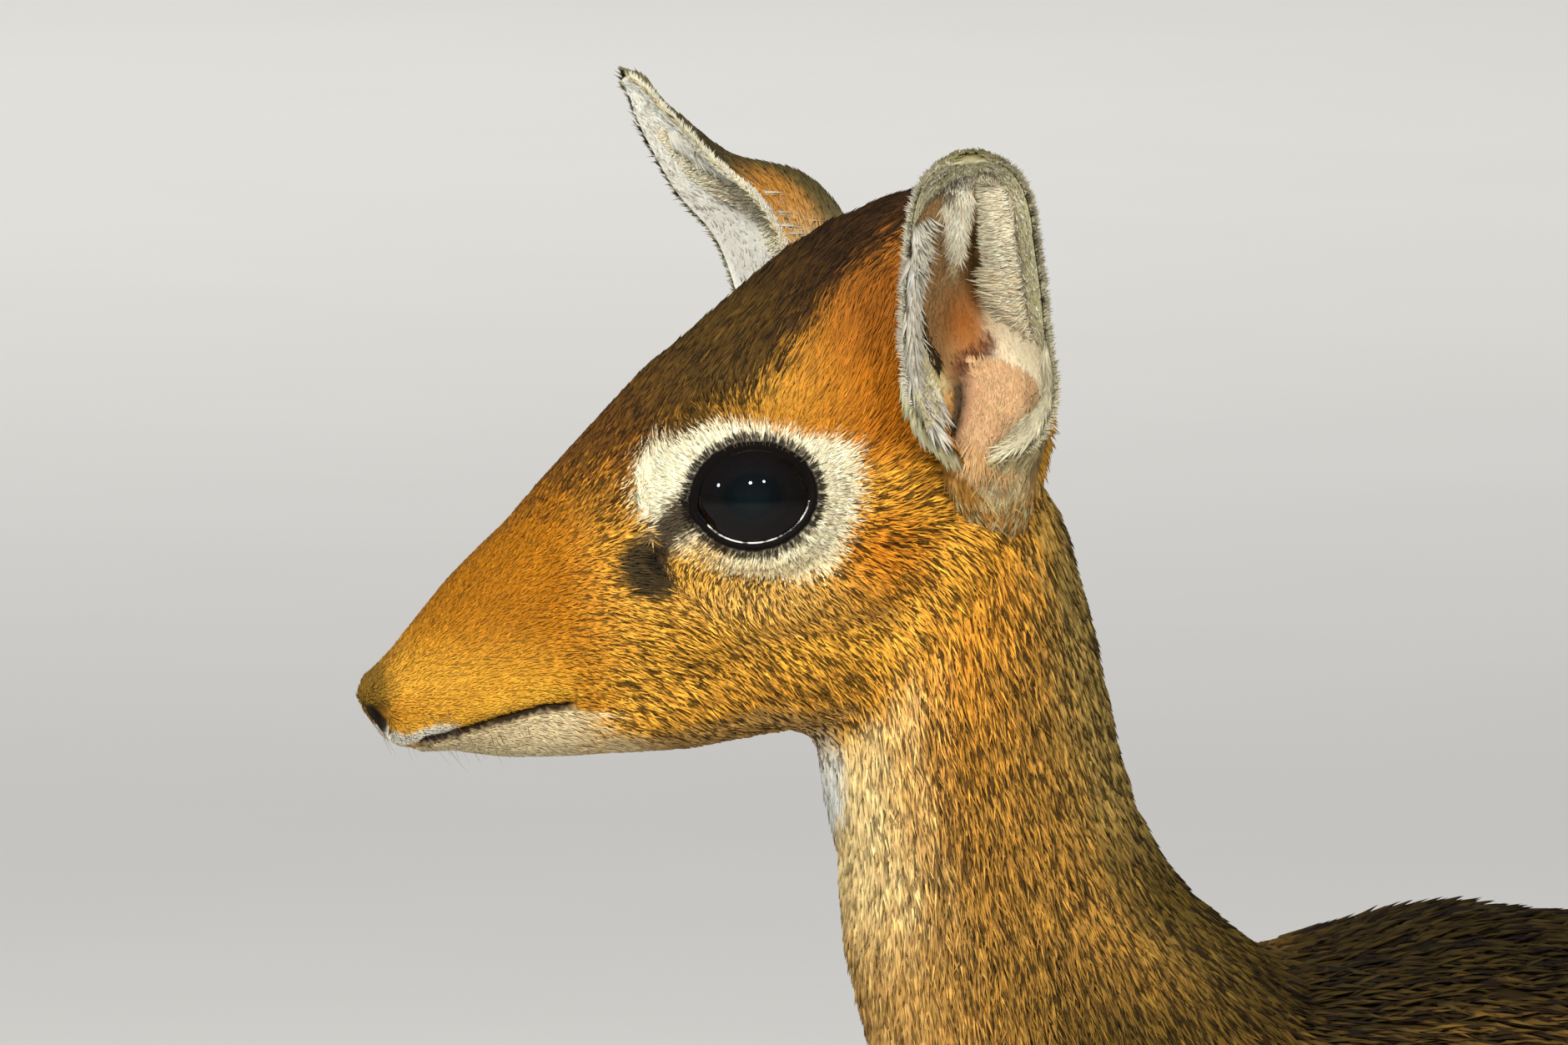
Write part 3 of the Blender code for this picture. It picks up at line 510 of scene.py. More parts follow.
# %% Colours of the animal
COLOURS = {name: tone(*screen) for name, screen in {
    "snout": (178, 112, 10), "snout_low": (236, 176, 58), "snout_top": (108, 70, 18),
    "snout_high": (180, 116, 12), "nose": (92, 74, 25), "lip": (242, 186, 64),
    "cheek": (204, 152, 56), "cheek_rear": (196, 138, 43), "cheek_low": (164, 118, 42),
    "below_ring": (190, 152, 84), "brow": (76, 48, 13), "forehead": (52, 38, 13),
    "crown": (24, 17, 9), "rufous": (164, 100, 32), "temple": (180, 110, 18),
    "ring": (255, 244, 208), "ring_low": (236, 200, 134), "tear": (58, 45, 29),
    "gland": (64, 52, 30), "chin": (222, 203, 160), "jaw": (166, 132, 76),
    "ear_base": (232, 204, 140), "throat": (226, 228, 218), "black": (12, 10, 8),
    "lip_white": (250, 244, 226), "neck_front": (230, 202, 144), "neck_side": (196, 138, 48),
    "neck_rear": (136, 124, 74), "neck_low": (142, 108, 48), "nape": (104, 96, 60),
    "shoulder": (74, 60, 20), "chest": (172, 132, 64), "back": (38, 30, 8),
    "flank": (140, 106, 50),
    "belly": (232, 218, 188), "leg": (192, 142, 78), "leg_inner": (230, 210, 170),
    "pastern": (128, 96, 58), "tail": (116, 88, 46),
}.items()}
CAP_EDGE = ((-52, -5.0), (-46, -1.8), (-35, 2.4), (-26, 7.0), (-13, 13.4), (-3, 19.4),
            (6, 30.0), (14, 39.5), (22, 46.5), (32, 51.0), (46, 43.0), (56, 18.0))
LIP_EDGE = ((-72.1, -42.1), (-70.8, -43.4), (-68.9, -44.5), (-67.3, -44.2), (-63.3, -42.5))
RING_EDGE = ((-180, 25.8), (-164, 25.0), (-155, 21.3), (-143, 18.1), (-128, 16.2), (-106, 14.8),
             (-85, 15.0), (-66, 17.4), (-46, 19.4), (-25, 18.0), (-12, 18.4), (9, 18.9), (26, 20.0),
             (37, 17.6), (58, 13.6), (83, 12.8), (107, 13.8), (120, 15.6), (142, 17.8), (155, 20.7),
             (165, 24.0), (180, 25.8))
TEAR_LINE = ((-14.6, 0.6), (-18.2, -3.4), (-21.6, -7.6))
print(len(COLOURS), "colours named")

# %% Tools for drawing markings


def line_distance(x, z, points):
    """Distance in the side view from a line through a few points."""
    best = np.full(np.shape(x), 1e9)
    for (ax, az), (bx, bz) in zip(points, points[1:]):
        length = (bx - ax) ** 2 + (bz - az) ** 2
        t = np.clip(((x - ax) * (bx - ax) + (z - az) * (bz - az)) / length, 0, 1)
        best = np.minimum(best, np.hypot(x - ax - t * (bx - ax), z - az - t * (bz - az)))
    return best


def lay(colour, mask, name):
    """Lays a named colour over another through a mask."""
    return colour + (COLOURS[name] - colour) * np.asarray(mask)[:, None]


def plain(name, count):
    """One named colour, a row for each point."""
    return np.repeat(COLOURS[name][None], count, 0)


def ring_share(p):
    """How far out a head point lies in the cream ring: 0 at the eye, 1 at the ring's edge."""
    x, z = p[:, 0] - EYE_CENTRE[0], p[:, 2] - EYE_CENTRE[2]
    return np.hypot(x, z) / read_off(RING_EDGE, np.degrees(np.arctan2(z, x)))


def grit(p):
    """An even chance from 0 to 1 at each point, always the same there."""
    return np.abs(np.sin(p @ np.array((12.9898, 78.233, 37.719))) * 43758.5453) % 1.0


def lid_edge(p):
    """1 beside the eye opening and 0 a few degrees further out."""
    found = np.zeros(len(p))
    for sign in SIDES.values():
        reach, theta, phi = around_eye(p, sign)
        beyond = theta - margin(phi) + 3.0 * (grit(p) - 0.5)
        near = ease(7.0, 3.8, beyond) * (reach < 26) * (p[:, 1] * sign > 0)
        found = np.maximum(found, near)
    return found


print("cream ring reaches", max(reach for turn, reach in RING_EDGE), "mm from the eye")

# %% [markdown]
# The face is painted from the broad to the fine, as on canvas: cheek and snout first, then the
# dark cap, the pale chin and lips, the ring, and last the tear gland, nostrils and lid edges.
# A little chance in each border breaks it up as real hair does.

# %% Markings of the head


def head_colour(p, n):
    """Colour and ticking of the head at head points p with head normals n."""
    x, y, z = p[:, 0], np.abs(p[:, 1]), p[:, 2]
    c = plain("cheek", len(p))
    tick = 0.85 * ease(-46, -24, x) * ease(20, -2, z) + 0.14
    chance = grit(p) - 0.5
    c = lay(c, ease(20, 52, x) * ease(10, -20, z) * 0.8, "cheek_rear")
    c = lay(c, bell(z, -33, 6) * ease(-28, -5, x) * ease(30, 10, x) * 0.6, "cheek_low")
    c = lay(c, bell(x, -2, 19) * bell(z, -15.5, 5.5) * 0.8, "below_ring")
    c = lay(c, ease(-26, -42, x), "snout")
    c = lay(c, ease(-52, -64, x) * ease(-30, -18, z) * 0.6, "snout_high")
    c = lay(c, ease(-30, -44, x) * bell(z, -34, 7.5) * 0.75, "snout_low")
    c = lay(c, ease(-34, -44, x) * bell(z, mouth_height(x) + 2.5, 2.6) * 0.7, "lip")
    c = lay(c, ease(-40, -28, x) * ease(16, 2, x) * ease(-6, 10, z) * ease(22, 10, z) * 0.75, "temple")
    c = lay(c, bell(x, 20, 17) * ease(3, 13, z), "temple")
    c = lay(c, bell(x, 19, 9) * bell(z, -8, 8) * 0.85, "temple")
    c = lay(c, bell(x, 20, 15) * ease(20, 34, z) * 0.85, "rufous")
    edge = read_off(CAP_EDGE, x)
    cap = ease(-4.4, 3.4, z - edge + 9.0 * chance) * ease(-66, -44, x + 14.0 * chance)
    shade = lay(c, np.ones(len(p)), "brow")
    shade = lay(shade, ease(-32, -14, x), "forehead")
    shade = lay(shade, ease(-8, 12, x) * ease(-1.0, 5.0, z - edge), "crown")
    c = c + (shade - c) * (cap * 0.95)[:, None]
    tick = tick + (0.7 - tick) * cap
    shadow = bell(x, -31, 9) * bell(z, 1.5, 7)
    c = lay(c, shadow * (0.55 + 0.9 * chance), "brow")
    c = lay(c, ease(0.45, 0.85, n[:, 2] + 0.3 * chance) * ease(-30, -44, x) * 0.8, "snout_top")
    c = lay(c, ease(7.5, 3.0, np.hypot(x + 76.5, (z + 36) * 0.8)) * 0.75, "nose")
    c = lay(c, ease(8.5, 3.5, np.hypot((x - 42) * 0.9, z - 6.5)) * ease(12, 16, y), "ear_base")
    below = mouth_height(x) - z
    jaw = ease(0.2, 1.4, below) * ease(-27, -38, x + 7.0 * chance)
    jaw = np.maximum(jaw, ease(-41, -44.5, z + 0.10 * (x + 35)) * ease(-36, -30, x) * ease(22, -8, x))
    c = lay(c, jaw, "chin")
    # Painted shade: faces that turn downwards, under the jaw, take a darker tan over the pale chin.
    c = lay(c, ease(-0.35, -0.75, n[:, 2]) * ease(-34, -18, x), "jaw")
    lip = ease(1.7, 0.7, np.abs(z - read_off(LIP_EDGE, x)))
    c = lay(c, lip * ease(-57.5, -61.5, x) * ease(-74.5, -72.5, x), "lip_white")
    tick = tick * (1 - 0.75 * jaw)
    c = lay(c, ease(-46, -52, z) * ease(2, 10, x) * ease(16, 8, y), "throat")
    share = ring_share(p)
    ring = ease(1.02, 0.86, share + 0.16 * chance) * ease(7, 10, y)
    ring = ring * (1 - 0.75 * bell(x, -12.5, 4.5) * bell(z, -7.5, 3.5))
    c = lay(c, ring, "ring")
    c = lay(c, ring * ease(-5, -13, z) * (0.6 + 0.5 * chance), "ring_low")
    c = lay(c, ring * (chance > 0.42) * 0.5, "brow")
    tick = tick * (1 - 0.75 * ring)
    tear = ease(4.4, 1.6, line_distance(x, z, TEAR_LINE) + 2.0 * chance) * ease(7, 10, y)
    c = lay(c, tear * 0.97, "tear")
    dark = ease(6.6, 4.2, np.hypot(x - GLAND[0] + 1.4, z - GLAND[1] + 1.9) + 1.4 * chance)
    c = lay(c, dark * ease(7, 10, y), "gland")
    c = lay(c, ease(2.6, 1.4, np.hypot(x - GLAND[0], z - GLAND[1])) * ease(7, 10, y) * 0.8, "black")
    tick = tick * (1 - 0.8 * np.maximum(tear, dark))
    pit = ease(1.25, 0.9, nostril_share(p))
    c = lay(c, np.maximum(pit, ease(0.35, 0.6, mouth_mask(p, 1.15)) * 0.96), "black")
    c = lay(c, lid_edge(p) * 0.97, "black")
    # Painted shade: the skin inside the foot of each ear, within its tube, is darkened.
    c = lay(c, ease(1.0, 0.9, ear_nearness(p)) * 0.9, "tear")
    return c, tick * (1 - pit)


print("head markings ready")

# %% [markdown]
# Below the head the colour follows height and the way a surface faces: grizzled on the back,
# whose dark is deepened by painted shade, tawny on flanks and legs, pale under the belly and
# inside the legs.

# %% Markings of the body


def body_colour(world, n, region):
    """Colour and ticking below the head, from height, the way a surface faces, and region."""
    height = world[:, 2] / MM
    front = -n[:, 0] * math.cos(HEAD_TURN / 2) + n[:, 1] * math.sin(HEAD_TURN / 2)
    ones = np.ones(len(world))
    neck = plain("neck_side", len(world))
    neck = lay(neck, ease(0.3, 0.95, front) * (1 - 0.65 * ease(402, 372, height)), "neck_front")
    neck = lay(neck, ease(-0.55, -0.95, front) * 0.8, "nape")
    line = np.interp(height, (381, 405, 429, 462), (0.85, 0.62, 0.28, -0.30))
    chance = grit(world / MM) - 0.5
    grizzle = ease(0.35, -0.35, front - line + 0.5 * chance)
    neck = lay(neck, grizzle * 0.9, "neck_low")
    neck = lay(neck, grizzle * ease(0.0, -0.6, front) * 0.6, "neck_rear")
    neck = lay(neck, ease(395, 360, height) * ease(0.7, 0.2, front), "shoulder")
    neck = lay(neck, ease(418, 390, height) * ease(0.0, -0.5, front), "shoulder")
    local = to_head(world)
    reach = np.linalg.norm((local - np.array((10, 0, -49))) / np.array((13, 13, 12)), axis=1)
    throat = ease(1.15, 0.8, reach) * ease(0.1, 0.5, front)
    neck = lay(neck, throat, "throat")
    torso = lay(neck, ones, "flank")
    chest = ease(-70, -115, world[:, 0] / MM) * ease(375, 325, height)
    torso = lay(torso, ease(-40, -100, world[:, 0] / MM) * ease(325, 375, height) * 0.8, "shoulder")
    torso = lay(torso, chest * 0.9, "chest")
    # The upward faces of the back are dark: a real dorsal darkening, deepened by painted shade.
    torso = lay(torso, ease(0.1, 0.75, n[:, 2]) * ease(-150, -105, world[:, 0] / MM), "back")
    torso = lay(torso, ease(-0.25, -0.7, n[:, 2]) * ease(312, 288, height), "belly")
    leg = lay(torso, ones, "leg")
    inward = -n[:, 1] * np.sign(world[:, 1])
    upper = lay(leg, ease(0.25, 0.8, inward), "leg_inner")
    lower = lay(leg, ease(0.3, 0.9, inward) * 0.5, "leg_inner")
    lower = lay(lower, ease(60, 25, height) * 0.8, "pastern")
    tail = lay(torso, ones, "tail")
    parts = (None, neck, torso, tail, upper, lower)
    colour = sum(parts[k] * region[:, k, None] for k in range(1, 6))
    tick = region @ np.array((0, 0.85, 0.9, 0.5, 0.5, 0.25))
    tick *= 1 - 0.7 * ease(-0.25, -0.7, n[:, 2]) * region[:, 2]
    tick *= 1 - 0.5 * ease(0.4, 0.95, front) * region[:, 1]
    tick *= 1 - 0.85 * throat * region[:, 1]
    return colour, tick


def coat_colour(world, n, region):
    """Colour and ticking anywhere on the animal."""
    region = region / np.maximum(region.sum(1, keepdims=True), 1e-9)
    on_head, head_tick = head_colour(to_head(world), n @ TURN)
    below, below_tick = body_colour(world, n, region)
    share = region[:, 0]
    return on_head * share[:, None] + below, head_tick * share + below_tick


print("markings ready for", len(REGIONS), "regions")

# %% [markdown]
# ## Materials
# Hair is banded: dark at the root, pale along the middle and, where it is ticked, dark
# again at the tip. The dark at the root is partly the hair's own colour and partly painted
# shade deep in the coat. That banding is a node group, so face, body and ears share it. The
# colour itself comes from the markings, stored on the mesh as an attribute.

# %% Shader tools


def new_material(name, roughness, specular=0.35):
    """A Principled material and its node tree, with the constants on the shader's own sockets."""
    made = bpy.data.materials.new(name)
    made.use_nodes = True
    shader = made.node_tree.nodes["Principled BSDF"]
    shader.inputs["Roughness"].default_value = roughness
    shader.inputs["Specular IOR Level"].default_value = specular
    return made, made.node_tree, shader


def attribute(tree, name, output="Fac"):
    """The output of an attribute node."""
    node = tree.nodes.new("ShaderNodeAttribute")
    node.attribute_name = name
    return node.outputs[output]


def feed(tree, socket, value):
    """Links another socket to this one, or writes a plain value on it."""
    if isinstance(value, bpy.types.NodeSocket):
        tree.links.new(value, socket)
    else:
        socket.default_value = value


def math_node(tree, operation, first, second):
    """A math node on sockets or numbers, in a shader tree or a geometry tree."""
    node = tree.nodes.new("ShaderNodeMath")
    node.operation = operation
    for socket, value in zip(node.inputs, (first, second)):
        feed(tree, socket, value)
    return node.outputs[0]


def step_node(tree, value, low, high):
    """A smooth step from 0 to 1 between low and high."""
    node = tree.nodes.new("ShaderNodeMapRange")
    node.interpolation_type = "SMOOTHSTEP"
    tree.links.new(value, node.inputs["Value"])
    node.inputs["From Min"].default_value = low
    node.inputs["From Max"].default_value = high
    return node.outputs["Result"]


def mix_colour(tree, factor, first, second, blend="MIX"):
    """A colour mix of sockets or RGBA values."""
    node = tree.nodes.new("ShaderNodeMix")
    node.data_type = "RGBA"
    node.blend_type = blend
    for socket, value in ((0, factor), (6, first), (7, second)):
        feed(tree, node.inputs[socket], value)
    return node.outputs[2]


def base_colour(tree, shader, factor, first, second):
    """Mixes two colours into the base colour of a shader."""
    tree.links.new(mix_colour(tree, factor, first, second), shader.inputs["Base Color"])


def noise_node(tree, scale, detail=3.0, coordinates=None):
    """Noise on the object's own coordinates."""
    node = tree.nodes.new("ShaderNodeTexNoise")
    node.inputs["Scale"].default_value = scale
    node.inputs["Detail"].default_value = detail
    if coordinates is None:
        coordinates = tree.nodes.new("ShaderNodeTexCoord").outputs["Object"]
    tree.links.new(coordinates, node.inputs["Vector"])
    return node.outputs["Fac"]


def bump_node(tree, shader, height, strength, distance):
    """Bump on a shader's normal."""
    node = tree.nodes.new("ShaderNodeBump")
    node.inputs["Strength"].default_value = strength
    node.inputs["Distance"].default_value = distance
    tree.links.new(height, node.inputs["Height"])
    tree.links.new(node.outputs["Normal"], shader.inputs["Normal"])


print("shader tools ready")

# %% [markdown]
# The bands could be painted on every hair, but a rule is lighter: the group reads how far
# along the hair a point lies and darkens or brightens the hair's one colour by it.

# %% A hair's bands, as a node group
bands = bpy.data.node_groups.new("hair_bands", "ShaderNodeTree")
for socket_name, kind in (("Colour", "NodeSocketColor"), ("Along", "NodeSocketFloat"),
                          ("Ticking", "NodeSocketFloat")):
    bands.interface.new_socket(socket_name, in_out="INPUT", socket_type=kind)
bands.interface.new_socket("Colour", in_out="OUTPUT", socket_type="NodeSocketColor")
entry = bands.nodes.new("NodeGroupInput")
leave = bands.nodes.new("NodeGroupOutput")
up_hair, ticked = entry.outputs["Along"], entry.outputs["Ticking"]
# Dark towards the root: partly the hair's own base, partly painted shade deep in the coat.
root_shade = math_node(bands, "SUBTRACT", 1.0, step_node(bands, up_hair, 0.0, 0.42))
root_shade = math_node(bands, "MULTIPLY", root_shade, 0.5)
rooted = mix_colour(bands, root_shade, entry.outputs["Colour"], (0.020, 0.011, 0.005, 1))
pale = math_node(bands, "MULTIPLY", step_node(bands, up_hair, 0.34, 0.5), ticked)
pale = math_node(bands, "MULTIPLY", pale, 0.55)
banded = mix_colour(bands, pale, rooted, (2.6, 2.3, 1.7, 1), "MULTIPLY")
tip_dark = math_node(bands, "MULTIPLY", step_node(bands, up_hair, 0.70, 0.86), ticked)
tip_dark = math_node(bands, "MULTIPLY", tip_dark, 0.72)
tipped = mix_colour(bands, tip_dark, banded, (0.018, 0.010, 0.005, 1))
bands.links.new(tipped, leave.inputs["Colour"])
print("bands of", len(bands.nodes), "nodes")

# %% [markdown]
# Hair is matte, with a gloss that wanders a little, so noise moves its roughness about the
# middle value. Skin only shows between the hairs: it takes the same markings, mottled, and
# a fine bump in place of the shortest hair.

# %% Coat and skin materials
UNEVEN_GLOSS = 0.18


def hair_material(name, roughness, specular):
    """Banded hair, with a little uneven gloss."""
    made, tree, shader = new_material(name, roughness, specular)
    group_node = tree.nodes.new("ShaderNodeGroup")
    group_node.node_tree = bands
    tree.links.new(attribute(tree, "coat", "Color"), group_node.inputs["Colour"])
    tree.links.new(attribute(tree, "along"), group_node.inputs["Along"])
    tree.links.new(attribute(tree, "ticking"), group_node.inputs["Ticking"])
    fine = noise_node(tree, 420.0, 2.0)
    base_colour(tree, shader, math_node(tree, "MULTIPLY", fine, 0.28), group_node.outputs[0],
                (0.03, 0.018, 0.008, 1))
    rough = math_node(tree, "MULTIPLY", step_node(tree, fine, 0.2, 0.8), UNEVEN_GLOSS)
    rough = math_node(tree, "ADD", rough, roughness - UNEVEN_GLOSS / 2)
    tree.links.new(rough, shader.inputs["Roughness"])
    return made


FACE_HAIR = hair_material("short_face_hair", 0.66, 0.10)
BODY_HAIR = hair_material("grizzled_body_hair", 0.64, 0.10)
EAR_HAIR = hair_material("soft_ear_hair", 0.66, 0.12)


def skin_material(name, roughness, shade):
    """Skin under hair: the markings' colours, mottled, with the grain of the finest hair as bump."""
    made, tree, shader = new_material(name, roughness, 0.1)
    mottle = noise_node(tree, 900.0, 3.0)
    base_colour(tree, shader, math_node(tree, "MULTIPLY", mottle, shade),
                attribute(tree, "coat", "Color"), (0.02, 0.012, 0.006, 1))
    grain = noise_node(tree, 2600.0, 2.0)
    bump_node(tree, shader, math_node(tree, "ADD", mottle, grain), 0.35, 0.0003)
    return made


SKIN = skin_material("haired_skin", 0.75, 0.6)
EAR_SKIN = skin_material("ear_skin", 0.65, 0.3)
print("materials ready")

# %% [markdown]
# ## Shape of the ears
# An ear is a rolled leaf: nearly a closed tube with a slit where it leaves the head, and an
# open cup higher up, whose bottom is filled with fur. Each row gives a station along it.
# Later cells ask for points on the leaf by two shares: s from root to tip, and t from the
# front rim (-1) to the rear rim (+1).

# %% The two ears as leaves
EARS = {
    "left": {"root": (40.6, -19.0, 8.5), "tip": (31.5, -65.9, 68.9), "turn": math.radians(6),
             "lean": 0.35, "depth": 1.0, "twist": 1},
    "right": {"root": (28.0, 19.0, 15.2), "tip": (-21.4, 29.3, 77.4), "turn": math.radians(112),
              "lean": 0.50, "depth": 1.3, "twist": -1},
}
# Share of length, half width laid flat, half angle of the arc, depth, shift to the rear, twist
EAR_CUP = ((0.00, 22.1, 178, 1.00, 1.8, 34), (0.09, 23.5, 176, 1.00, 1.8, 32),
           (0.15, 24.2, 155, 1.05, 1.6, 26), (0.21, 24.4, 125, 1.12, 1.0, 16),
           (0.28, 23.6, 106, 1.22, 0.5, 7), (0.40, 19.6, 86, 1.32, -0.3, 0),
           (0.55, 16.8, 73, 1.24, -0.3, 0))
EAR_STUMP = {"left": ((-0.15, 16.7, 178, 1.00, 1.8, 34),),
             "right": ((-0.17, 15.6, 178, 0.80, -4.4, 34),)}
EAR_TIP = {
    "left": ((0.68, 14.6, 64, 1.05, -0.2, 0), (0.80, 13.0, 58, 1.0, 0, 0), (0.88, 11.0, 54, 1.0, 0, 0),
             (0.94, 8.3, 52, 1.0, 0, 0), (0.97, 6.0, 51, 1.0, 0, 0), (0.99, 3.6, 50, 1.0, 0, 0),
             (1.00, 1.6, 50, 1.0, 0, 0)),
    "right": ((0.70, 13.6, 64, 0.72, 0, 0), (0.82, 9.6, 58, 0.60, 0, 0), (0.91, 6.0, 54, 0.60, 0, 0),
              (0.97, 3.0, 52, 0.80, 0, 0), (1.00, 1.1, 50, 0.80, 0, 0)),
}
EAR_FOOT, EAR_TUBE = (-0.16, 0.30), 0.95


def curved(rows, step):
    """A table of stations read as a smooth curve through its rows."""
    table = np.array(rows, float)
    slopes = np.gradient(table, table[:, 0], axis=0)
    found = []
    for i in range(len(table) - 1):
        width = table[i + 1, 0] - table[i, 0]
        for t in np.arange(0, 1, step / width):
            found.append((2 * t**3 - 3 * t**2 + 1) * table[i]
                         + (t**3 - 2 * t**2 + t) * width * slopes[i]
                         + (3 * t**2 - 2 * t**3) * table[i + 1]
                         + (t**3 - t**2) * width * slopes[i + 1])
    return np.array(found + [table[-1]])


for side, ear in EARS.items():
    start, end = Vector(ear["root"]), Vector(ear["tip"])
    way = (end - start).normalized()
    outward = Vector((0, SIDES[side], 0))
    outward = (outward - way * outward.dot(way)).normalized()
    opening = Matrix.Rotation(ear["turn"] * SIDES[side], 3, way) @ outward
    ear["length"] = (end - start).length
    ear["root"], ear["axis"], ear["opening"] = (np.array(v) for v in (start, way, opening))
    ear["rearward"] = np.array(way.cross(opening)) * -SIDES[side]
    ear["table"] = curved(EAR_STUMP[side] + EAR_CUP + EAR_TIP[side], 0.01)


print({side: len(ear["table"]) for side, ear in EARS.items()}, "stations along the ears")

# %% [markdown]
# The middles of the cross sections run along the ear's axis. An arc round each middle, turned
# by the twist, gives the leaf, and small steps along both shares give its normal.

# %% Points on an ear


def ear_middle(side, s):
    """Middle, radius, half angle, depth and twist of an ear's sections at shares s."""
    ear = EARS[side]
    stations = ear["table"].T
    half, arc, deep, shift, twist = (np.interp(s, stations[0], values) for values in stations[1:])
    arc = np.radians(arc)
    radius = half / arc
    middle = (ear["root"] + ear["axis"] * (ear["length"] * s)[..., None]
              + ear["opening"] * (radius * ear["lean"])[..., None] + ear["rearward"] * shift[..., None])
    return middle, radius, arc, deep * ear["depth"], np.radians(twist) * ear["twist"]


def ear_sheet(side, s, t):
    """Points of an ear's leaf, halfway through its wall."""
    ear = EARS[side]
    middle, radius, arc, deep, twist = ear_middle(side, s)
    around = arc * t + twist
    return (middle - ear["opening"] * (radius * deep * np.cos(around))[..., None]
            + ear["rearward"] * (radius * np.sin(around))[..., None])


def ear_normal(side, s, t):
    """The way into the ear's cup, square to its leaf."""
    step = 0.004
    along = ear_sheet(side, s + step, t) - ear_sheet(side, s - step, t)
    beside = ear_sheet(side, s, t + step) - ear_sheet(side, s, t - step)
    return unit(np.cross(beside, along)) * EARS[side].get("inward", 1)


def ear_filling(side, s, t):
    """How the filled bottom of the cup stands off the wall, towards the slit, in millimetres."""
    ear = EARS[side]
    middle, radius, arc, deep, twist = ear_middle(side, s)
    way = ear["opening"] * np.cos(twist)[..., None] - ear["rearward"] * np.sin(twist)[..., None]
    rise = np.maximum(0.62 + np.cos(arc * t), 0) * radius * deep * ease(0.19, 0.10, s)
    return way, rise


for side, ear in EARS.items():
    ear["inward"] = np.sign(ear_normal(side, np.array([0.6]), np.array([0.0]))[0] @ ear["opening"])


print("leaf", round(float(ear_middle("left", np.array([0.4]))[1][0]), 1), "mm in radius at the cup")

# %% Where an ear's foot stands


def ear_nearness(p):
    """Distance of head points from the axis of an ear's foot, as a share of its radius."""
    found = np.full(len(p), 9.0)
    for side, ear in EARS.items():
        share = (p - ear["root"]) @ ear["axis"] / ear["length"]
        middle, radius = ear_middle(side, share)[:2]
        reach = np.linalg.norm(p - middle, axis=1) / radius
        at_foot = (share > EAR_FOOT[0]) & (share < EAR_FOOT[1])
        found = np.where(at_foot, np.minimum(found, reach), found)
    return found


def within_ear(p):
    """True inside the tube at an ear's foot."""
    return ear_nearness(p) < EAR_TUBE


print("ears", round(EARS["left"]["length"], 1), "and", round(EARS["right"]["length"], 1), "mm long")

# %% [markdown]
# ## The coat
# Each tuft is a closed sliver of four triangles: its root is buried, it swells to a knee and
# ends in a fine tip. Hundreds of thousands of them would be slow one by one, so they are
# made together, as arrays. Roots are scattered over the skin by area and wanted density.

# %% Where hair lies: the flow of the coat
NOSE = np.array((-80.0, 0.0, -40.0))
# The skin takes this share of the hair's colour: painted shade between the hairs.
SKIN_SHADE = 0.8


def head_flow(p):
    """The way the hair lies on the head, in head directions."""
    flow = unit(p - NOSE)
    flow[:, 1] *= 0.6
    x, z = p[:, 0], p[:, 2]
    cheek = ease(-40, 6, x) * ease(2, -16, z)
    flow += cheek[:, None] * np.array((0.10, 0, -0.95))
    flow += (ease(-52, -30, x) * ease(0, -12, z))[:, None] * np.array((0.2, 0, -0.35))
    temple = bell(x, 14, 16) * ease(6, 16, z) * ease(46, 34, z)
    flow += temple[:, None] * np.array((-0.30, 0, 0.75))
    rear = ease(26, 50, x) * ease(26, 4, z)
    flow += rear[:, None] * np.array((0.2, 0, -1.6))
    under = ease(-36, -46, z) * ease(-20, 10, x)
    flow += under[:, None] * np.array((0.9, 0, 0.1))
    for sign in SIDES.values():
        reach, theta, phi = around_eye(p, sign)
        centre = eye_frame(sign)[0]
        near = ease(27, 16, reach) * (np.sign(p[:, 1]) == sign)
        away = unit((p - centre) * np.array((1, 0.2, 1)))
        flow = flow * (1 - near[:, None]) + away * near[:, None]
    return unit(flow)


def body_flow(world, n, region):
    """The way the hair lies below the head, in world directions."""
    downward = ease(0.8, -0.1, n[:, 2])
    torso = np.stack([np.ones(len(world)), np.zeros(len(world)), -0.15 - 0.75 * downward], 1)
    shoulder = ease(-60, -110, world[:, 0] / MM)
    torso[:, 2] -= 0.7 * shoulder
    ways = (None, np.array((0.22, 0, -1.0)), torso, np.array((0.5, 0, -0.9)),
            np.array((0.25, 0, -1.0)), np.array((0.08, 0, -1.0)))
    return sum(ways[k] * region[:, k, None] for k in range(1, 6))


def lie_of(world, n, region):
    """The lie of the coat along the surface."""
    flow = head_flow(to_head(world)) @ TURN.T * region[:, :1] + body_flow(world, n, region)
    return laid_flat(unit(flow), n)


print("face hair flows away from", NOSE.tolist())

# %% [markdown]
# The lie is worked out at every point of the skin and then spread along the mesh, as combing
# does, so that neighbouring hairs agree. The skin gets the markings, a little darker than the
# hair over it as painted shade between the hairs, and stands in for the flesh solids in the
# picture.

# %% Comb the skin and colour it
skin_lie = lie_of(skin_points, skin_normal, skin_region)
for _ in range(3):
    skin_lie = laid_flat(spread(skin_lie, skin_edges, 4), skin_normal)
skin_colour = coat_colour(skin_points, skin_normal, skin_region)[0]
paint(skin_mesh, coat=skin_colour * SKIN_SHADE)
skin = piece_of("skin", skin_mesh, SKIN)
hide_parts(*FLESH)

# %% [markdown]
# Hair is short and fine on the muzzle, long on the neck and coarse on the back. Each row
# below holds one measure for every part of the body, in the order of REGIONS, and a function
# then makes the finer changes of the face.

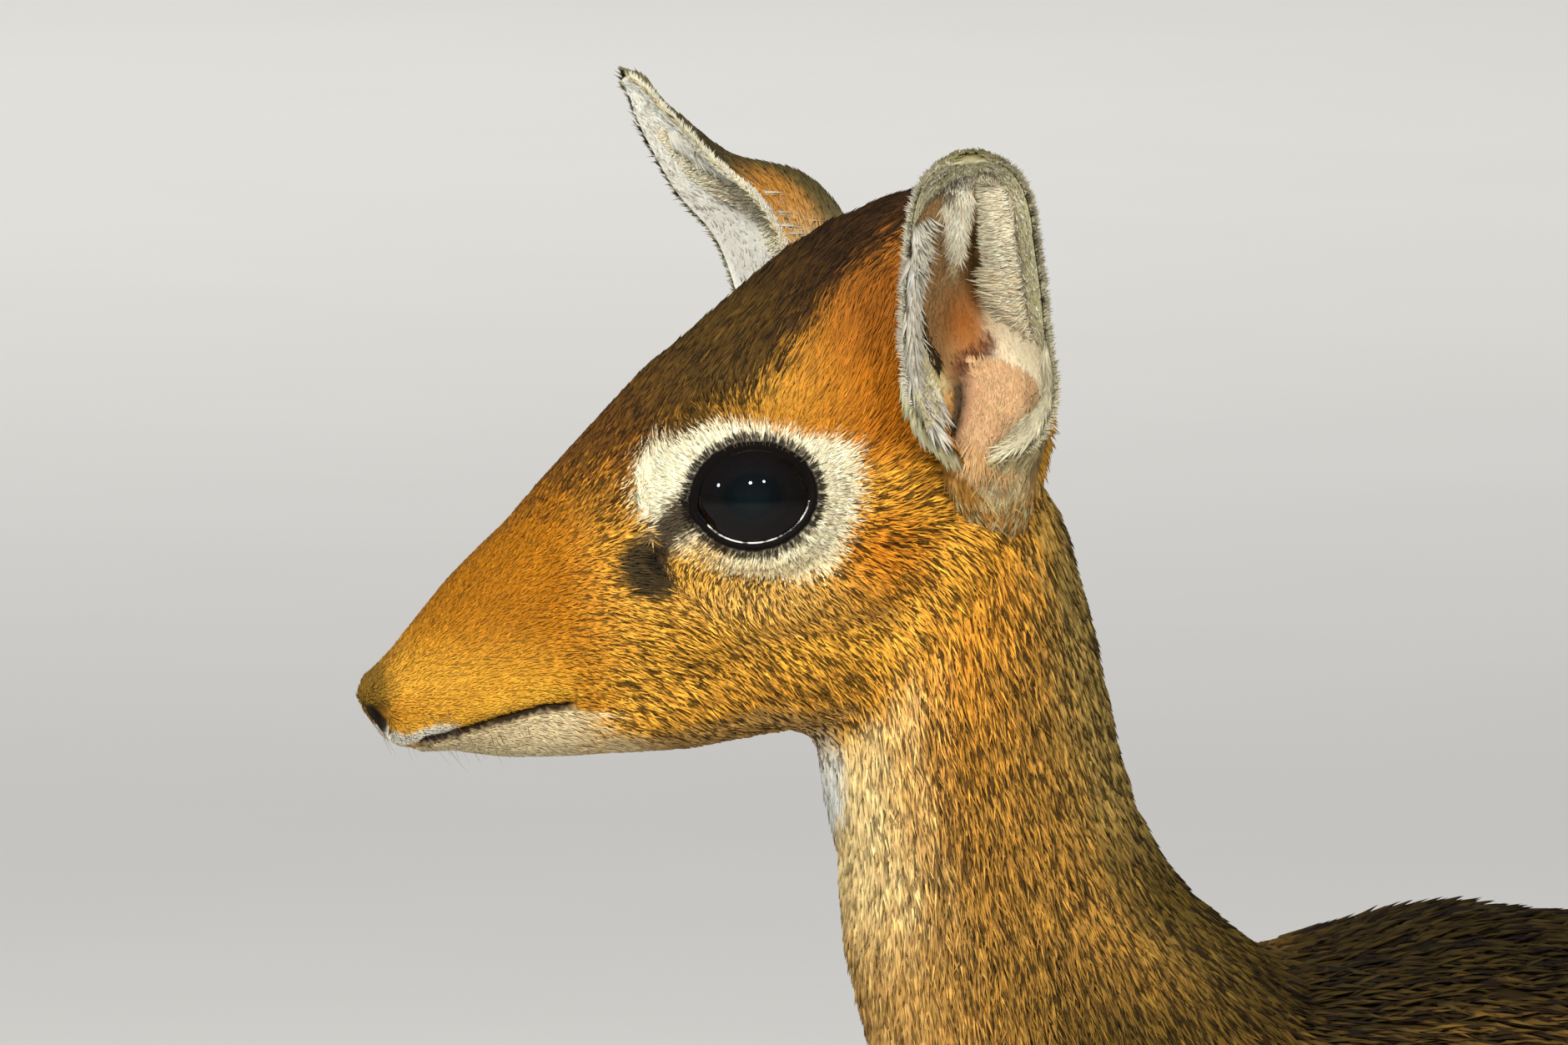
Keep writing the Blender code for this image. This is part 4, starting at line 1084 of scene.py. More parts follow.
# %% Size of the hair, part by part
HAIR = {
    "length": np.array((5.0, 6.4, 9.0, 12.0, 7.5, 5.0)),
    "width": np.array((0.30, 0.37, 0.76, 0.76, 0.68, 0.52)),
    "height": np.array((1.2, 2.3, 2.4, 3.0, 1.9, 1.1)),
    "density": np.array((7.6, 4.4, 0.62, 1.0, 0.76, 0.98)),
    "clump": np.array((1.5, 2.0, 3.8, 4.0, 3.2, 2.4)),
    "uneven": np.array((0.11, 0.13, 0.12, 0.10, 0.10, 0.10)),
}


def hair_sizes(p, region):
    """Length, width, height, density, clump size and unevenness of the hair at head points p."""
    x, z = p[:, 0], p[:, 2]
    sizes = {key: region @ value for key, value in HAIR.items()}
    head, torso = region[:, 0], region[:, 2]
    snout = ease(-16, -50, x)
    length = 4.6 - 2.7 * snout + 2.2 * ease(10, 32, z) + 1.2 * ease(10, 40, x)
    sizes["length"] += head * (length - HAIR["length"][0])
    sizes["width"] *= 1 - head * 0.20 * snout + head * 0.2 * ease(10, 40, x)
    sizes["density"] *= 1 + head * (0.55 * snout - 0.25 * ease(20, 45, x))
    sizes["uneven"] *= 1 - head * 0.30 * snout
    height = 1.15 - 0.75 * snout + 0.6 * ease(10, 30, z) + 0.5 * ease(10, 40, x)
    sizes["height"] += head * (height - HAIR["height"][0])
    finer = torso * ease(110, 75, x)
    sizes["density"] *= 1 + 1.9 * finer
    sizes["width"] *= 1 - 0.34 * finer
    sizes["length"] *= 1 - 0.15 * finer
    lips = head * bell(z, mouth_height(x) + 1.2, 2.0) * ease(-34, -37, x)
    sizes["length"] *= 1 - 0.45 * lips
    by_ear = head * ease(1.7, 1.0, ear_nearness(p))
    sizes["length"] *= 1 - 0.45 * by_ear
    sizes["height"] *= 1 - 0.3 * by_ear
    for sign in SIDES.values():
        reach, theta, phi = around_eye(p, sign)
        near = ease(24, 16.0, reach)
        sizes["length"] *= 1 - 0.48 * near
        sizes["height"] *= 1 - 0.45 * near
        sizes["density"] *= 1 + 0.7 * near
    return sizes


print("measures of hair:", ", ".join(HAIR))

# %% [markdown]
# Roots have to be even, or the skin shows. The area of each triangle is weighted by the wanted
# density and added up, and that sum is cut into equal steps with a little chance in each.
# Unlike a particle system this gives plain arrays, the same ones every time.

# %% Scatter roots


def bare(p):
    """1 where no hair grows: the line of the mouth, the nostrils and the pit of the gland."""
    x, y, z = p[:, 0], np.abs(p[:, 1]), p[:, 2]
    gland = ease(1.6, 1.0, np.hypot(x - GLAND[0], z - GLAND[1])) * (y > 8)
    return np.maximum.reduce([ease(1.25, 1.05, nostril_share(p)), gland, mouth_mask(p, 1.05)]) > 0.5


def scatter(points, triangles, wanted, count, rng):
    """Triangles and shares within them for a count of roots, spread by area and density."""
    a, b, c = (points[triangles[:, k]] for k in range(3))
    area = np.linalg.norm(np.cross(b - a, c - a), axis=1) * wanted[triangles].mean(1)
    total = np.cumsum(area)
    chosen = np.searchsorted(total, (np.arange(count) + rng.random(count)) / count * total[-1])
    chosen = np.minimum(chosen, len(triangles) - 1)
    r1, r2 = np.sqrt(rng.random(count)), rng.random(count)
    return chosen, np.stack([1 - r1, r1 * (1 - r2), r1 * r2], 1)


print("roots can be scattered")

# %% [markdown]
# A flat card of hair is lighter than a closed tuft, but it vanishes when seen edge on. The
# normals of a tuft are bent towards those of the skin, so that the coat takes the light as
# one soft surface, and each tuft only adds a little roundness of its own.

# %% One tuft, and a mesh of many
TUFT_FACES = np.array(((0, 1, 2), (1, 3, 2), (0, 3, 1), (0, 2, 3)))
KNEE_ALONG, KNEE_LIFT = 0.40, 0.78
TUFT_ALONG = np.array((0.0, KNEE_ALONG, KNEE_ALONG, 1.0))
ROOT_BURIED = 0.3
ROUNDNESS = 0.55
CLUMP_TIP, CLUMP_KNEE = 0.38, 0.08
BAKE_PATCH = 0.003
BAKE_PLACES = np.array(((0, 0.5), (0.4, 1), (0.4, 0), (1, 0.5)))


def tuft_points(root, normal, lie, length, width, height):
    """Four points a tuft, in metres: root, two across the knee, tip. Sizes are millimetres."""
    side = unit(np.cross(lie, normal))
    length, width, height = (v[:, None] * MM for v in (length, width, height))
    knee = root + lie * length * KNEE_ALONG + normal * height * KNEE_LIFT
    tip = root + lie * length + normal * height
    across = side * width / 2
    return np.stack([root - normal * (ROOT_BURIED * MM), knee + across, knee - across, tip], 1)


def coat_piece(name, material, points, normal, colour, ticking, place):
    """One mesh of tufts. place holds each root's spot, 0 to 1, on the unwrap of the skin."""
    count = len(points)
    faces = (TUFT_FACES[None] + 4 * np.arange(count)[:, None, None]).reshape(-1, 3)
    mesh = mesh_of(name, points.reshape(-1, 3), faces)
    paint(mesh, coat=np.repeat(colour, 4, 0), along=np.tile(TUFT_ALONG, count),
          ticking=np.repeat(ticking, 4))
    spots = place[:, None, :] * (1 - BAKE_PATCH) + BAKE_PLACES[None] * BAKE_PATCH
    layer = mesh.uv_layers.new(name="OFBake")
    layer.data.foreach_set("uv", spots.reshape(-1, 2)[faces.ravel()].astype(np.float32).ravel())
    across = unit(points[:, 1] - points[:, 2]) * ROUNDNESS
    onward = unit(points[:, 3] - points[:, 0]) * ROUNDNESS * 0.5
    soft = np.stack([normal, unit(normal + across), unit(normal - across), unit(normal + onward)], 1)
    mesh.normals_split_custom_set_from_vertices(soft.reshape(-1, 3).astype(np.float32))
    return piece_of(name, mesh, material)


print("a tuft has", len(TUFT_FACES), "triangles")

# %% [markdown]
# Combed hair still clumps and strays. Tufts that stand in the same small cell of space draw
# their tips together, and each one is turned, stretched and coloured a little by chance.

# %% Uneven hair


def cell_chance(points, size, salt):
    """Four even random numbers for the little cell of space that each point falls in."""
    cell = np.floor(points / size[:, None]).astype(np.int64)
    mixed = cell[:, 0] * 73856093 ^ cell[:, 1] * 19349663 ^ cell[:, 2] * 83492791 ^ salt
    out = []
    for k in range(4):
        mixed = (mixed * 6364136223846793005 + 1442695040888963407 + k) & 0x7FFFFFFFFFFFFFFF
        out.append(((mixed >> 20) & 0xFFFFF) / 0xFFFFF)
    return cell, np.stack(out, 1)


def groomed(root, normal, lie, sizes, rng, stray=9.0):
    """Tufts with natural unevenness: each turns, lifts and stretches a little on its own,
    and the tips of those that share a clump draw together."""
    count = len(root)
    turn = np.radians(rng.normal(0, stray, count))[:, None]
    side = np.cross(normal, lie)
    lie = lie * np.cos(turn) + side * np.sin(turn)
    length = sizes["length"] * rng.uniform(0.72, 1.18, count)
    height = np.minimum(sizes["height"] * rng.uniform(0.45, 1.1, count), length * 0.6)
    width = sizes["width"] * rng.uniform(0.75, 1.25, count)
    points = tuft_points(root, normal, lie, length, width, height)
    size = sizes["clump"] * MM
    cell, chance = cell_chance(root, size, 5)
    gather = (cell + chance[:, :3]) * size[:, None] - root
    gather -= normal * (gather * normal).sum(1, keepdims=True)
    gather -= lie * (gather * lie).sum(1, keepdims=True)
    points[:, 3] += gather * CLUMP_TIP
    points[:, 1:3] += gather[:, None] * CLUMP_KNEE
    return points, chance[:, 3]


def hair_colour(colour, ticking, uneven, clump, rng):
    """Colours of single tufts: some darker, some paler, by clump and by chance."""
    count = len(colour)
    chance = rng.random(count)
    dark = (chance < 0.34 * ticking) * (0.45 + 0.4 * ticking)
    light = (chance > 1 - 0.25 * ticking) * 0.5
    gain = 1.0 + rng.normal(0.0, 1.0, count) * uneven + (clump - 0.5) * 2.2 * uneven
    made = colour * np.clip(gain, 0.5, 1.5)[:, None]
    made = made * (1 - dark)[:, None]
    made = made + (np.minimum(made * 1.7, 0.9) - made) * light[:, None]
    return np.clip(made, 0.0015, 0.95)


print("hair tools ready")

# %% [markdown]
# ## Lids
# Each lid is a ring of skin round the eye. Near the eye it follows the eyeball and turns
# over in a thick, dark, wet rim. Further out it runs into the face. Rays sent from outside
# towards the eye find the face's skin, so the ring's outer edge lands on it exactly.

# %% Build the lids
LID_TURNS = 128
LID_PROFILE = ((-9.0, 12.3, 0), (-2.0, 12.9, 0), (0.0, 13.3, 0), (1.1, 13.65, 0), (2.4, 13.9, 0),
               (3.6, 14.0, 0), (4.8, 14.1, 0), (6.6, 14.2, 0.08), (9.0, 14.35, 0.25), (12.0, 14.6, 0.55),
               (15.0, 14.8, 0.85), (18.0, 15, 1.0), (21.0, 15, 1.0), (24.0, 15, 1.0), (28.0, 15, 1.0))
LID_RISE = (0, 0, 0, 0, 0, 0, 0, 0, 0, 0.12, 0.2, 0.2, 0.12, -0.1, -0.9)
LID_HAIR_FROM = 1.6
RAY_FROM, RAY_REACH = 34.0, 40
FACE_NEAREST, FACE_FARTHEST = 13.4, 24
LID_FREE_ROW, LID_SMOOTHING = 9, 4


def build_lids(side):
    """The ring of lids round one eye, with its colours."""
    sign = SIDES[side]
    phi = np.arange(LID_TURNS) / LID_TURNS * 2 * math.pi
    centre = eye_frame(sign)[0]
    rings = []
    for (beyond, reach, share), rise in zip(LID_PROFILE, LID_RISE):
        theta = margin(phi) + beyond
        far = from_eye(np.full(LID_TURNS, RAY_FROM), theta, phi, sign)
        found = np.empty(LID_TURNS)
        for i, start in enumerate(far):
            hit = open_skin.ray_cast(start, centre - start, RAY_REACH)[0]
            found[i] = reach if hit is None else np.linalg.norm(np.array(hit) - centre)
        found = np.clip(found, FACE_NEAREST, FACE_FARTHEST)
        rings.append(from_eye(reach + (found + rise - reach) * share, theta, phi, sign))
    grid = np.array(rings)
    outer = grid[LID_FREE_ROW:].copy()
    for _ in range(LID_SMOOTHING):
        outer = 0.5 * outer + 0.25 * (np.roll(outer, 1, 1) + np.roll(outer, -1, 1))
    grid[LID_FREE_ROW:] = outer
    faces = band_quads(len(grid), LID_TURNS)[0]
    if sign < 0:
        faces = faces[:, ::-1]
    beyond = np.repeat([row[0] for row in LID_PROFILE], LID_TURNS)
    return grid.reshape(-1, 3), faces, beyond


print(LID_TURNS, "points round each of", len(LID_PROFILE), "rings")

# %% The lids and their skin
LID_SKIN, lid_tree, lid_shader = new_material("lid_skin", 0.5, 0.05)
lid_mottle = noise_node(lid_tree, 1500.0, 3.0)
base_colour(lid_tree, lid_shader, math_node(lid_tree, "MULTIPLY", lid_mottle, 0.35),
            attribute(lid_tree, "coat", "Color"), (0.012, 0.008, 0.006, 1))
lid_tree.links.new(attribute(lid_tree, "dryness"), lid_shader.inputs["Roughness"])
bump_node(lid_tree, lid_shader, lid_mottle, 0.3, 0.0003)
lid_roots = []
for side, sign in SIDES.items():
    points, faces, beyond = build_lids(side)
    mesh = mesh_of(f"lids_{side}", to_world(points), faces)
    normal = normals_of(mesh)
    colour = coat_colour(to_world(points), normal, all_head(len(points)))[0]
    rim = ease(7.0, 3.2, beyond)
    # Outside the black rim the lids take the face's markings at 0.7: painted shade between their hairs.
    colour = colour * 0.7 * (1 - rim[:, None]) + tone(7, 5, 5) * rim[:, None]
    paint(mesh, coat=colour, dryness=0.35 + 0.4 * ease(0.2, 2, beyond))
    piece_of(f"lids_{side}", mesh, LID_SKIN)
    quads = faces[(beyond[faces] > LID_HAIR_FROM).all(1)]
    halves = np.concatenate([quads[:, [0, 1, 2]], quads[:, [0, 2, 3]]])
    lid_roots.append((to_world(points), halves, normal))

# %% [markdown]
# ## Eyeballs
# The eye is nearly black and very wet, so its shape is told by reflections alone. A clear
# coat over a deep brown iris with a wide pupil does that, and the front bulges slightly. A
# faint teal glow over the pupil is a painted reflection.

# %% Material of the eyes
PUPIL_WIDE, PUPIL_HIGH = 26.0, 19.0
EYE_RINGS, EYE_TURNS = 40, 72
EYE_REACH, EYE_BULGE = 12.88, 0.5
eye_material, eye_tree, eye_shader = new_material("wet_dark_eye", 0.3, 0.0)
eye_shader.inputs["Coat Weight"].default_value = 0.42
eye_shader.inputs["Coat Roughness"].default_value = 0.015
eye_shader.inputs["Coat IOR"].default_value = 1.33
eye_fibres = noise_node(eye_tree, 900.0, 4.0)
base_colour(eye_tree, eye_shader, math_node(eye_tree, "MULTIPLY", eye_fibres, 0.5),
            attribute(eye_tree, "coat", "Color"), (0.0010, 0.0008, 0.0008, 1))
print("wet eye ready")

# %% [markdown]
# The rings of an eyeball run round the direction it looks in, so the angle from that
# direction tells pupil, iris and dark edge apart, and places the painted reflection in the
# middle. Triangles close the ball at both poles.

# %% Two eyeballs
for side, sign in SIDES.items():
    theta = np.linspace(0.0, 180.0, EYE_RINGS + 1)[1:-1]
    phi = np.arange(EYE_TURNS) / EYE_TURNS * 2 * math.pi
    grid_theta, grid_phi = np.meshgrid(theta, phi, indexing="ij")
    reach = EYE_REACH + EYE_BULGE * ease(46, 4, grid_theta)
    shell = from_eye(reach, grid_theta, grid_phi, sign).reshape(-1, 3)
    pole_reach = np.array((EYE_REACH + EYE_BULGE, EYE_REACH))
    poles = from_eye(pole_reach, np.array((0.0, 180.0)), np.zeros(2), sign)
    points = np.concatenate([shell, poles])
    quads, index = band_quads(len(theta), EYE_TURNS)
    faces = quads[:, [0, 3, 2, 1]].tolist()
    front, back = len(shell), len(shell) + 1
    for i in range(EYE_TURNS):
        j = (i + 1) % EYE_TURNS
        faces += [(front, index[0, i], index[0, j]), (back, index[-1, j], index[-1, i])]
    mesh = closed_mesh(f"eyeball_{side}", to_world(points), faces)
    reach, spot, turn = around_eye(points, sign)
    pupil = np.hypot(spot * np.cos(turn) / PUPIL_WIDE, spot * np.sin(turn) / PUPIL_HIGH)
    iris = tone(16, 11, 11) * ease(0.85, 1.15, pupil)[:, None]
    # Painted reflection: a faint teal glow over the middle of the eye.
    iris = iris + tone(12, 22, 25) * bell(spot, 0, 24)[:, None]
    iris = iris * (1 - 0.7 * ease(44, 58, spot))[:, None]
    paint(mesh, coat=iris)
    eyeball = piece_of(f"eyeball_{side}", mesh, eye_material)
    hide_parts(f"eye_{side}")

# %% [markdown]
# ## Growing the coat
# Skin and lids are joined into one ground, without the skin that the lids cover. Roots are
# scattered over it and left out where no hair grows. Each root then takes its size, its lie
# and its colour from the functions above, with a little chance of its own.

# %% Join skin and lids into one ground
COAT_COUNT = 300000
LIDS_COVER = 17.0
rng = np.random.default_rng(SEED)
near_eye = np.zeros(len(skin_points), bool)
for sign in SIDES.values():
    reach, theta, phi = around_eye(skin_head, sign)
    near_eye |= (theta - margin(phi) < LIDS_COVER) & (reach < FACE_FARTHEST)
open_triangles = skin_triangles[~near_eye[skin_triangles].any(1)]
all_points, all_normals, all_regions, all_lies, all_triangles = (
    [skin_points], [skin_normal], [skin_region], [skin_lie], [open_triangles])
base = len(skin_points)
for points, triangles, normal in lid_roots:
    lid_region = all_head(len(points))
    all_points.append(points)
    all_normals.append(normal)
    all_regions.append(lid_region)
    all_lies.append(lie_of(points, normal, lid_region))
    all_triangles.append(triangles + base)
    base += len(points)
ground = {key: np.concatenate(value) for key, value in (
    ("point", all_points), ("normal", all_normals), ("region", all_regions), ("lie", all_lies))}
triangles = np.concatenate(all_triangles)
print("ground of", len(ground["point"]), "points and", len(triangles), "triangles")

# %% Grow the coat
wanted = hair_sizes(to_head(ground["point"]), ground["region"])["density"]
chosen, shares = scatter(ground["point"], triangles, wanted, COAT_COUNT, rng)
corners = triangles[chosen]
root, normal, region, lie = (
    (ground[key][corners] * shares[:, :, None]).sum(1) for key in ("point", "normal", "region", "lie"))
root_head = to_head(root)
hairy = ~(bare(root_head) & (region[:, 0] > 0.5)) & ~within_ear(root_head)
root, normal, region, lie = (v[hairy] for v in (root, normal, region, lie))
normal = unit(normal)
lie = laid_flat(lie, normal)
sizes = hair_sizes(to_head(root), region)
points, clump = groomed(root, normal, lie, sizes, rng)
colour, ticking = coat_colour(root, normal, region)
colour = hair_colour(colour, ticking, sizes["uneven"], clump, rng)
ticking = ticking * rng.uniform(0.3, 1.0, len(root))
print("tufts", len(root), {name: int((region.argmax(1) == k).sum()) for k, name in enumerate(REGIONS)})

# %% [markdown]
# The coat is parted into pieces by where the roots stand. Each piece gets a map for baking:
# the part of the body is unrolled about its own axis, and every tuft takes a tiny patch of
# that map at its root, so that neighbouring hairs never share a patch with another side.

# %% Part the coat into pieces
local = to_head(root)
turn_x = np.arctan2(local[:, 2] + 8 + 0.35 * (20 - local[:, 0]) * 0.9, np.abs(local[:, 1]))
kind = region.argmax(1)
left = root[:, 1] < 0
left_head = local[:, 1] < 0
front_leg = root[:, 0] < 0.04
around = np.arctan2(normal[:, 1], normal[:, 0]) / (2 * math.pi) + 0.5
head_map = np.stack([(local[:, 0] + 84) / 170, turn_x / math.pi + 0.5], 1)
up_map = np.stack([root[:, 2] / 0.56, around], 1)
over = np.arctan2(normal[:, 2], np.abs(normal[:, 1])) / math.pi + 0.5
torso_map = np.stack([(root[:, 0] + 0.26) / 0.52, over], 1)
MUZZLE_END = -14
PARTS = {}
for half, flag in (("left", left_head), ("right", ~left_head)):
    on_head = (kind == 0) & flag
    PARTS[f"coat_muzzle_{half}"] = (on_head & (local[:, 0] < MUZZLE_END), head_map)
    PARTS[f"coat_cheek_{half}"] = (on_head & (local[:, 0] >= MUZZLE_END), head_map)
for half, flag in (("left", left), ("right", ~left)):
    PARTS[f"coat_neck_{half}"] = ((kind == 1) & flag, up_map)
    PARTS[f"coat_torso_{half}"] = ((kind == 2) & flag, torso_map)
    PARTS[f"coat_foreleg_{half}"] = ((kind >= 4) & flag & front_leg, up_map)
    PARTS[f"coat_hindleg_{half}"] = ((kind >= 4) & flag & ~front_leg, up_map)
PARTS["coat_tail"] = (kind == 3, up_map)
MOST_TUFTS = 48000
for name, (mask, unwrap) in PARTS.items():
    slot, material = ("face_coat", FACE_HAIR) if unwrap is head_map else ("body_coat", BODY_HAIR)
    found = np.nonzero(mask)[0]
    runs = max(1, math.ceil(len(found) / MOST_TUFTS))
    order = found[np.argsort(root[found, 0], kind="stable")]
    for k, some in enumerate(np.array_split(order, runs)):
        label = name if runs == 1 else f"{name}_{k + 1}"
        coat_piece(label, material, points[some], normal[some], colour[some], ticking[some],
                   np.clip(unwrap[some], 0.0, 1.0))

# %% [markdown]
# ## Ears
# Each ear is lofted from cross sections, outside and inside in one closed ring each. The
# inside gets the ridges, the hollow and the round lobe above the slit of a real ear. Places
# on it are named by s and t, so the colours and the hair can share one drawing of it.

# %% Colours and lines of an ear
EAR_WALL = 1.2
EAR_ALONG, EAR_ACROSS = 72, 45
COLOURS.update({name: tone(*screen) for name, screen in {
    "inner": (170, 134, 88), "band": (248, 232, 198), "ridge": (255, 246, 220),
    "straw": (214, 178, 104), "hollow": (80, 54, 18), "deep": (176, 108, 50),
    "crease_shadow": (86, 42, 24), "lobe": (218, 184, 138), "pink": (214, 160, 122),
    "slit_shadow": (44, 33, 20), "border": (192, 186, 146), "line": (66, 54, 36),
    "tuft": (255, 236, 178), "rear": (160, 148, 112), "rear_low": (186, 128, 52),
    "fold": (84, 66, 38), "skirt": (222, 214, 184), "foot": (208, 148, 62),
    "lens": (252, 249, 234),
    "tip": (150, 142, 100), "white": (240, 238, 228), "dark": (62, 54, 30),
    "pale": (206, 196, 160), "green": (88, 78, 42), "base": (216, 160, 76),
}.items()})
FRINGE_EDGE = ((0.20, -0.45), (0.28, -0.49), (0.43, -0.62), (0.60, -0.80), (0.74, -0.96), (0.80, -1.0))
TOP_EDGE = ((-1.0, 0.76), (-0.78, 0.81), (-0.38, 0.84), (-0.10, 0.86), (0.43, 0.88), (0.60, 0.86),
            (0.73, 0.80))
BAND_EDGE = ((0.10, -0.34), (0.24, -0.06), (0.34, 0.10), (0.42, 0.17), (0.6, 0.20), (0.75, 0.20),
             (0.86, 0.10))
REAR_FOLD = ((0.05, 0.08), (0.10, 0.24), (0.16, 0.44), (0.23, 0.70), (0.31, 0.90), (0.42, 1.05))
RIDGE_WIDTH = ((0.44, 0.02), (0.5, 0.04), (0.6, 0.06), (0.7, 0.12), (0.79, 0.21), (0.86, 0.25))


print(len(COLOURS), "colours named, those of the ears among them")

# %% Ridges, lobe and folds


def ear_relief(s, t):
    """How far the inside stands out from the wall, in millimetres."""
    ridge = 1.6 * bell(t, -0.13, read_off(RIDGE_WIDTH, s)) * ease(0.44, 0.58, s) * ease(0.88, 0.82, s)
    band = 1.0 * bell(t, 0.42, 0.17) * ease(0.34, 0.46, s) * ease(0.90, 0.78, s)
    lobe = 4.6 * bell(t, 0.06, 0.34) * bell(s, 0.155, 0.075)
    front = 1.6 * bell(t, -0.76, 0.18) * bell(s, 0.23, 0.08)
    fold = t - read_off(REAR_FOLD, s)
    skirt = 2.6 * ease(0.0, 0.14, fold) - 0.8 * bell(fold, -0.05, 0.07)
    skirt = skirt * ease(0.02, 0.08, s) * ease(0.42, 0.34, s)
    return ridge + band + lobe * ease(0.05, -0.10, fold) + front + skirt


def ear_inside(side, s, t, thick=1.0):
    """Points of the inner face of an ear."""
    way, rise = ear_filling(side, s, t)
    level = (EAR_WALL / 2 + ear_relief(s, t)) * thick
    wall = ear_sheet(side, s, t) + ear_normal(side, s, t) * level[..., None]
    return wall + way * (rise * thick)[..., None]


def ear_outside(side, s, t, thick=1.0):
    """Points of the back of an ear."""
    level = EAR_WALL / 2 * thick * np.ones_like(s)
    return ear_sheet(side, s, t) - ear_normal(side, s, t) * level[..., None]


print("lobe stands out", round(float(ear_relief(np.array([0.155]), np.array([0.06]))[0]), 1), "mm")

# %% Colours inside and outside an ear


def inner_colour(s, t, side):
    """Colour inside the ear."""
    c = plain("inner", len(s))
    c = lay(c, ease(-0.05, 0.06, t - read_off(BAND_EDGE, s)) * ease(0.1, 0.2, s), "band")
    wide = read_off(RIDGE_WIDTH, s)
    on_ridge = ease(0.05, -0.05, np.abs(t + 0.17) - wide) * ease(0.44, 0.52, s)
    c = lay(c, on_ridge, "ridge")
    c = lay(c, on_ridge * ease(0.62, 0.52, s) * 0.7, "straw")
    # Painted shade: the hollow between the ridge and the band is darker.
    c = lay(c, bell(t, 0.07, 0.12) * ease(0.33, 0.40, s) * ease(0.76, 0.66, s), "hollow")
    c = lay(c, bell(s, 0.32, 0.10) * bell(t, -0.12, 0.22), "deep")
    c = lay(c, ease(0.225, 0.20, s) * ease(-0.36, -0.26, t), "lobe")
    fold = t - read_off(REAR_FOLD, s)
    c = lay(c, ease(0.225, 0.19, s) * bell(t, -0.20, 0.14) * 0.8, "pink")
    # Painted shade: a dark crease along the top of the lobe.
    crease_shadow = np.abs(s - np.interp(t, (-0.35, -0.07, 0.10), (0.215, 0.235, 0.275)))
    c = lay(c, ease(0.034, 0.012, crease_shadow) * ease(-0.40, -0.32, t) * ease(0.14, 0.06, t) * 0.9, "crease_shadow")
    # Painted shade: a dark line along the fold where the rear piece rises from the wall.
    c = lay(c, bell(fold, -0.06, 0.07) * ease(0.05, 0.10, s) * ease(0.36, 0.28, s) * 0.9, "fold")
    c = lay(c, ease(0.0, 0.06, fold) * ease(0.44, 0.38, s), "skirt")
    # Painted shade: the filled slit low in the cup is painted dark, as the inside of the tube looks.
    c = lay(c, ease(0.22, 0.18, s) * ease(0.05, 0.08, s) * bell(t, -0.37, 0.10), "slit_shadow")
    fringe = read_off(FRINGE_EDGE, s) - t
    c = lay(c, ease(-0.02, 0.05, fringe) * ease(0.33, 0.28, s) * ease(0.16, 0.22, s), "tuft")
    # Painted shade: a dark band just inside the front rim, under the fringe.
    c = lay(c, ease(-0.90, -0.97, t) * ease(0.28, 0.33, s) * ease(0.80, 0.72, s) * 0.9, "line")
    c = lay(c, ease(-0.02, 0.05, fringe) * ease(0.20, 0.16, s), "foot")
    rise = s - read_off(TOP_EDGE, t)
    border = np.maximum(ease(-0.012, 0.012, rise), ease(0.70, 0.76, t) * ease(0.26, 0.38, s))
    c = lay(c, border, "border")
    if side == "left":
        top_line = bell(rise, 0, 0.012) * ease(0.74, 0.68, t)
        rear_line = bell(t, 0.715, 0.03) * ease(0.84, 0.78, s) * ease(0.28, 0.36, s)
        c = lay(c, np.maximum(top_line, rear_line) * 0.85, "line")
    else:
        c = lay(c, np.ones(len(s)), "lens")
        c = lay(c, ease(0.84, 0.92, t), "white")
        for at in ((0.69, 0.62), (0.60, 0.70), (0.56, 0.55)):
            c = lay(c, ease(1.1, 0.5, np.hypot((s - at[0]) / 0.025, (t - at[1]) / 0.06)) * 0.7, "dark")
    return c


def outer_colour(s, t, side):
    """Colour of the ear's back."""
    c = plain("rear", len(s))
    if side == "left":
        c = lay(c, ease(0.85, 0.35, s) * ease(0.9, 0.5, np.abs(t)) * 0.35, "rear_low")
        c = lay(c, np.maximum(ease(0.24, 0.14, s) * ease(-0.3, -0.6, t), ease(0.10, 0.0, s)), "foot")
        c = lay(c, ease(0.20, 0.12, s) * ease(0.0, 0.05, s) * ease(0.4, 0.7, t), "tuft")
    else:
        c = lay(c, ease(0.2, 0.5, s), "green")
        c = lay(c, ease(-0.48, -0.74, t) * ease(0.72, 0.56, s), "rear_low")
        c = lay(c, bell(s, 0.71, 0.085) * ease(-0.25, -0.50, t), "dark")
        c = lay(c, bell(s, 0.40, 0.08) * bell(t, -0.9, 0.25) * 0.4, "tuft")
    c = lay(c, ease(0.86, 0.97, s), "tip")
    rim = np.abs(t) if side == "left" else t
    return lay(c, ease(0.88, 0.98, rim) * ease(0.22, 0.32, s) * 0.85, "pale")


print("ear colours ready")

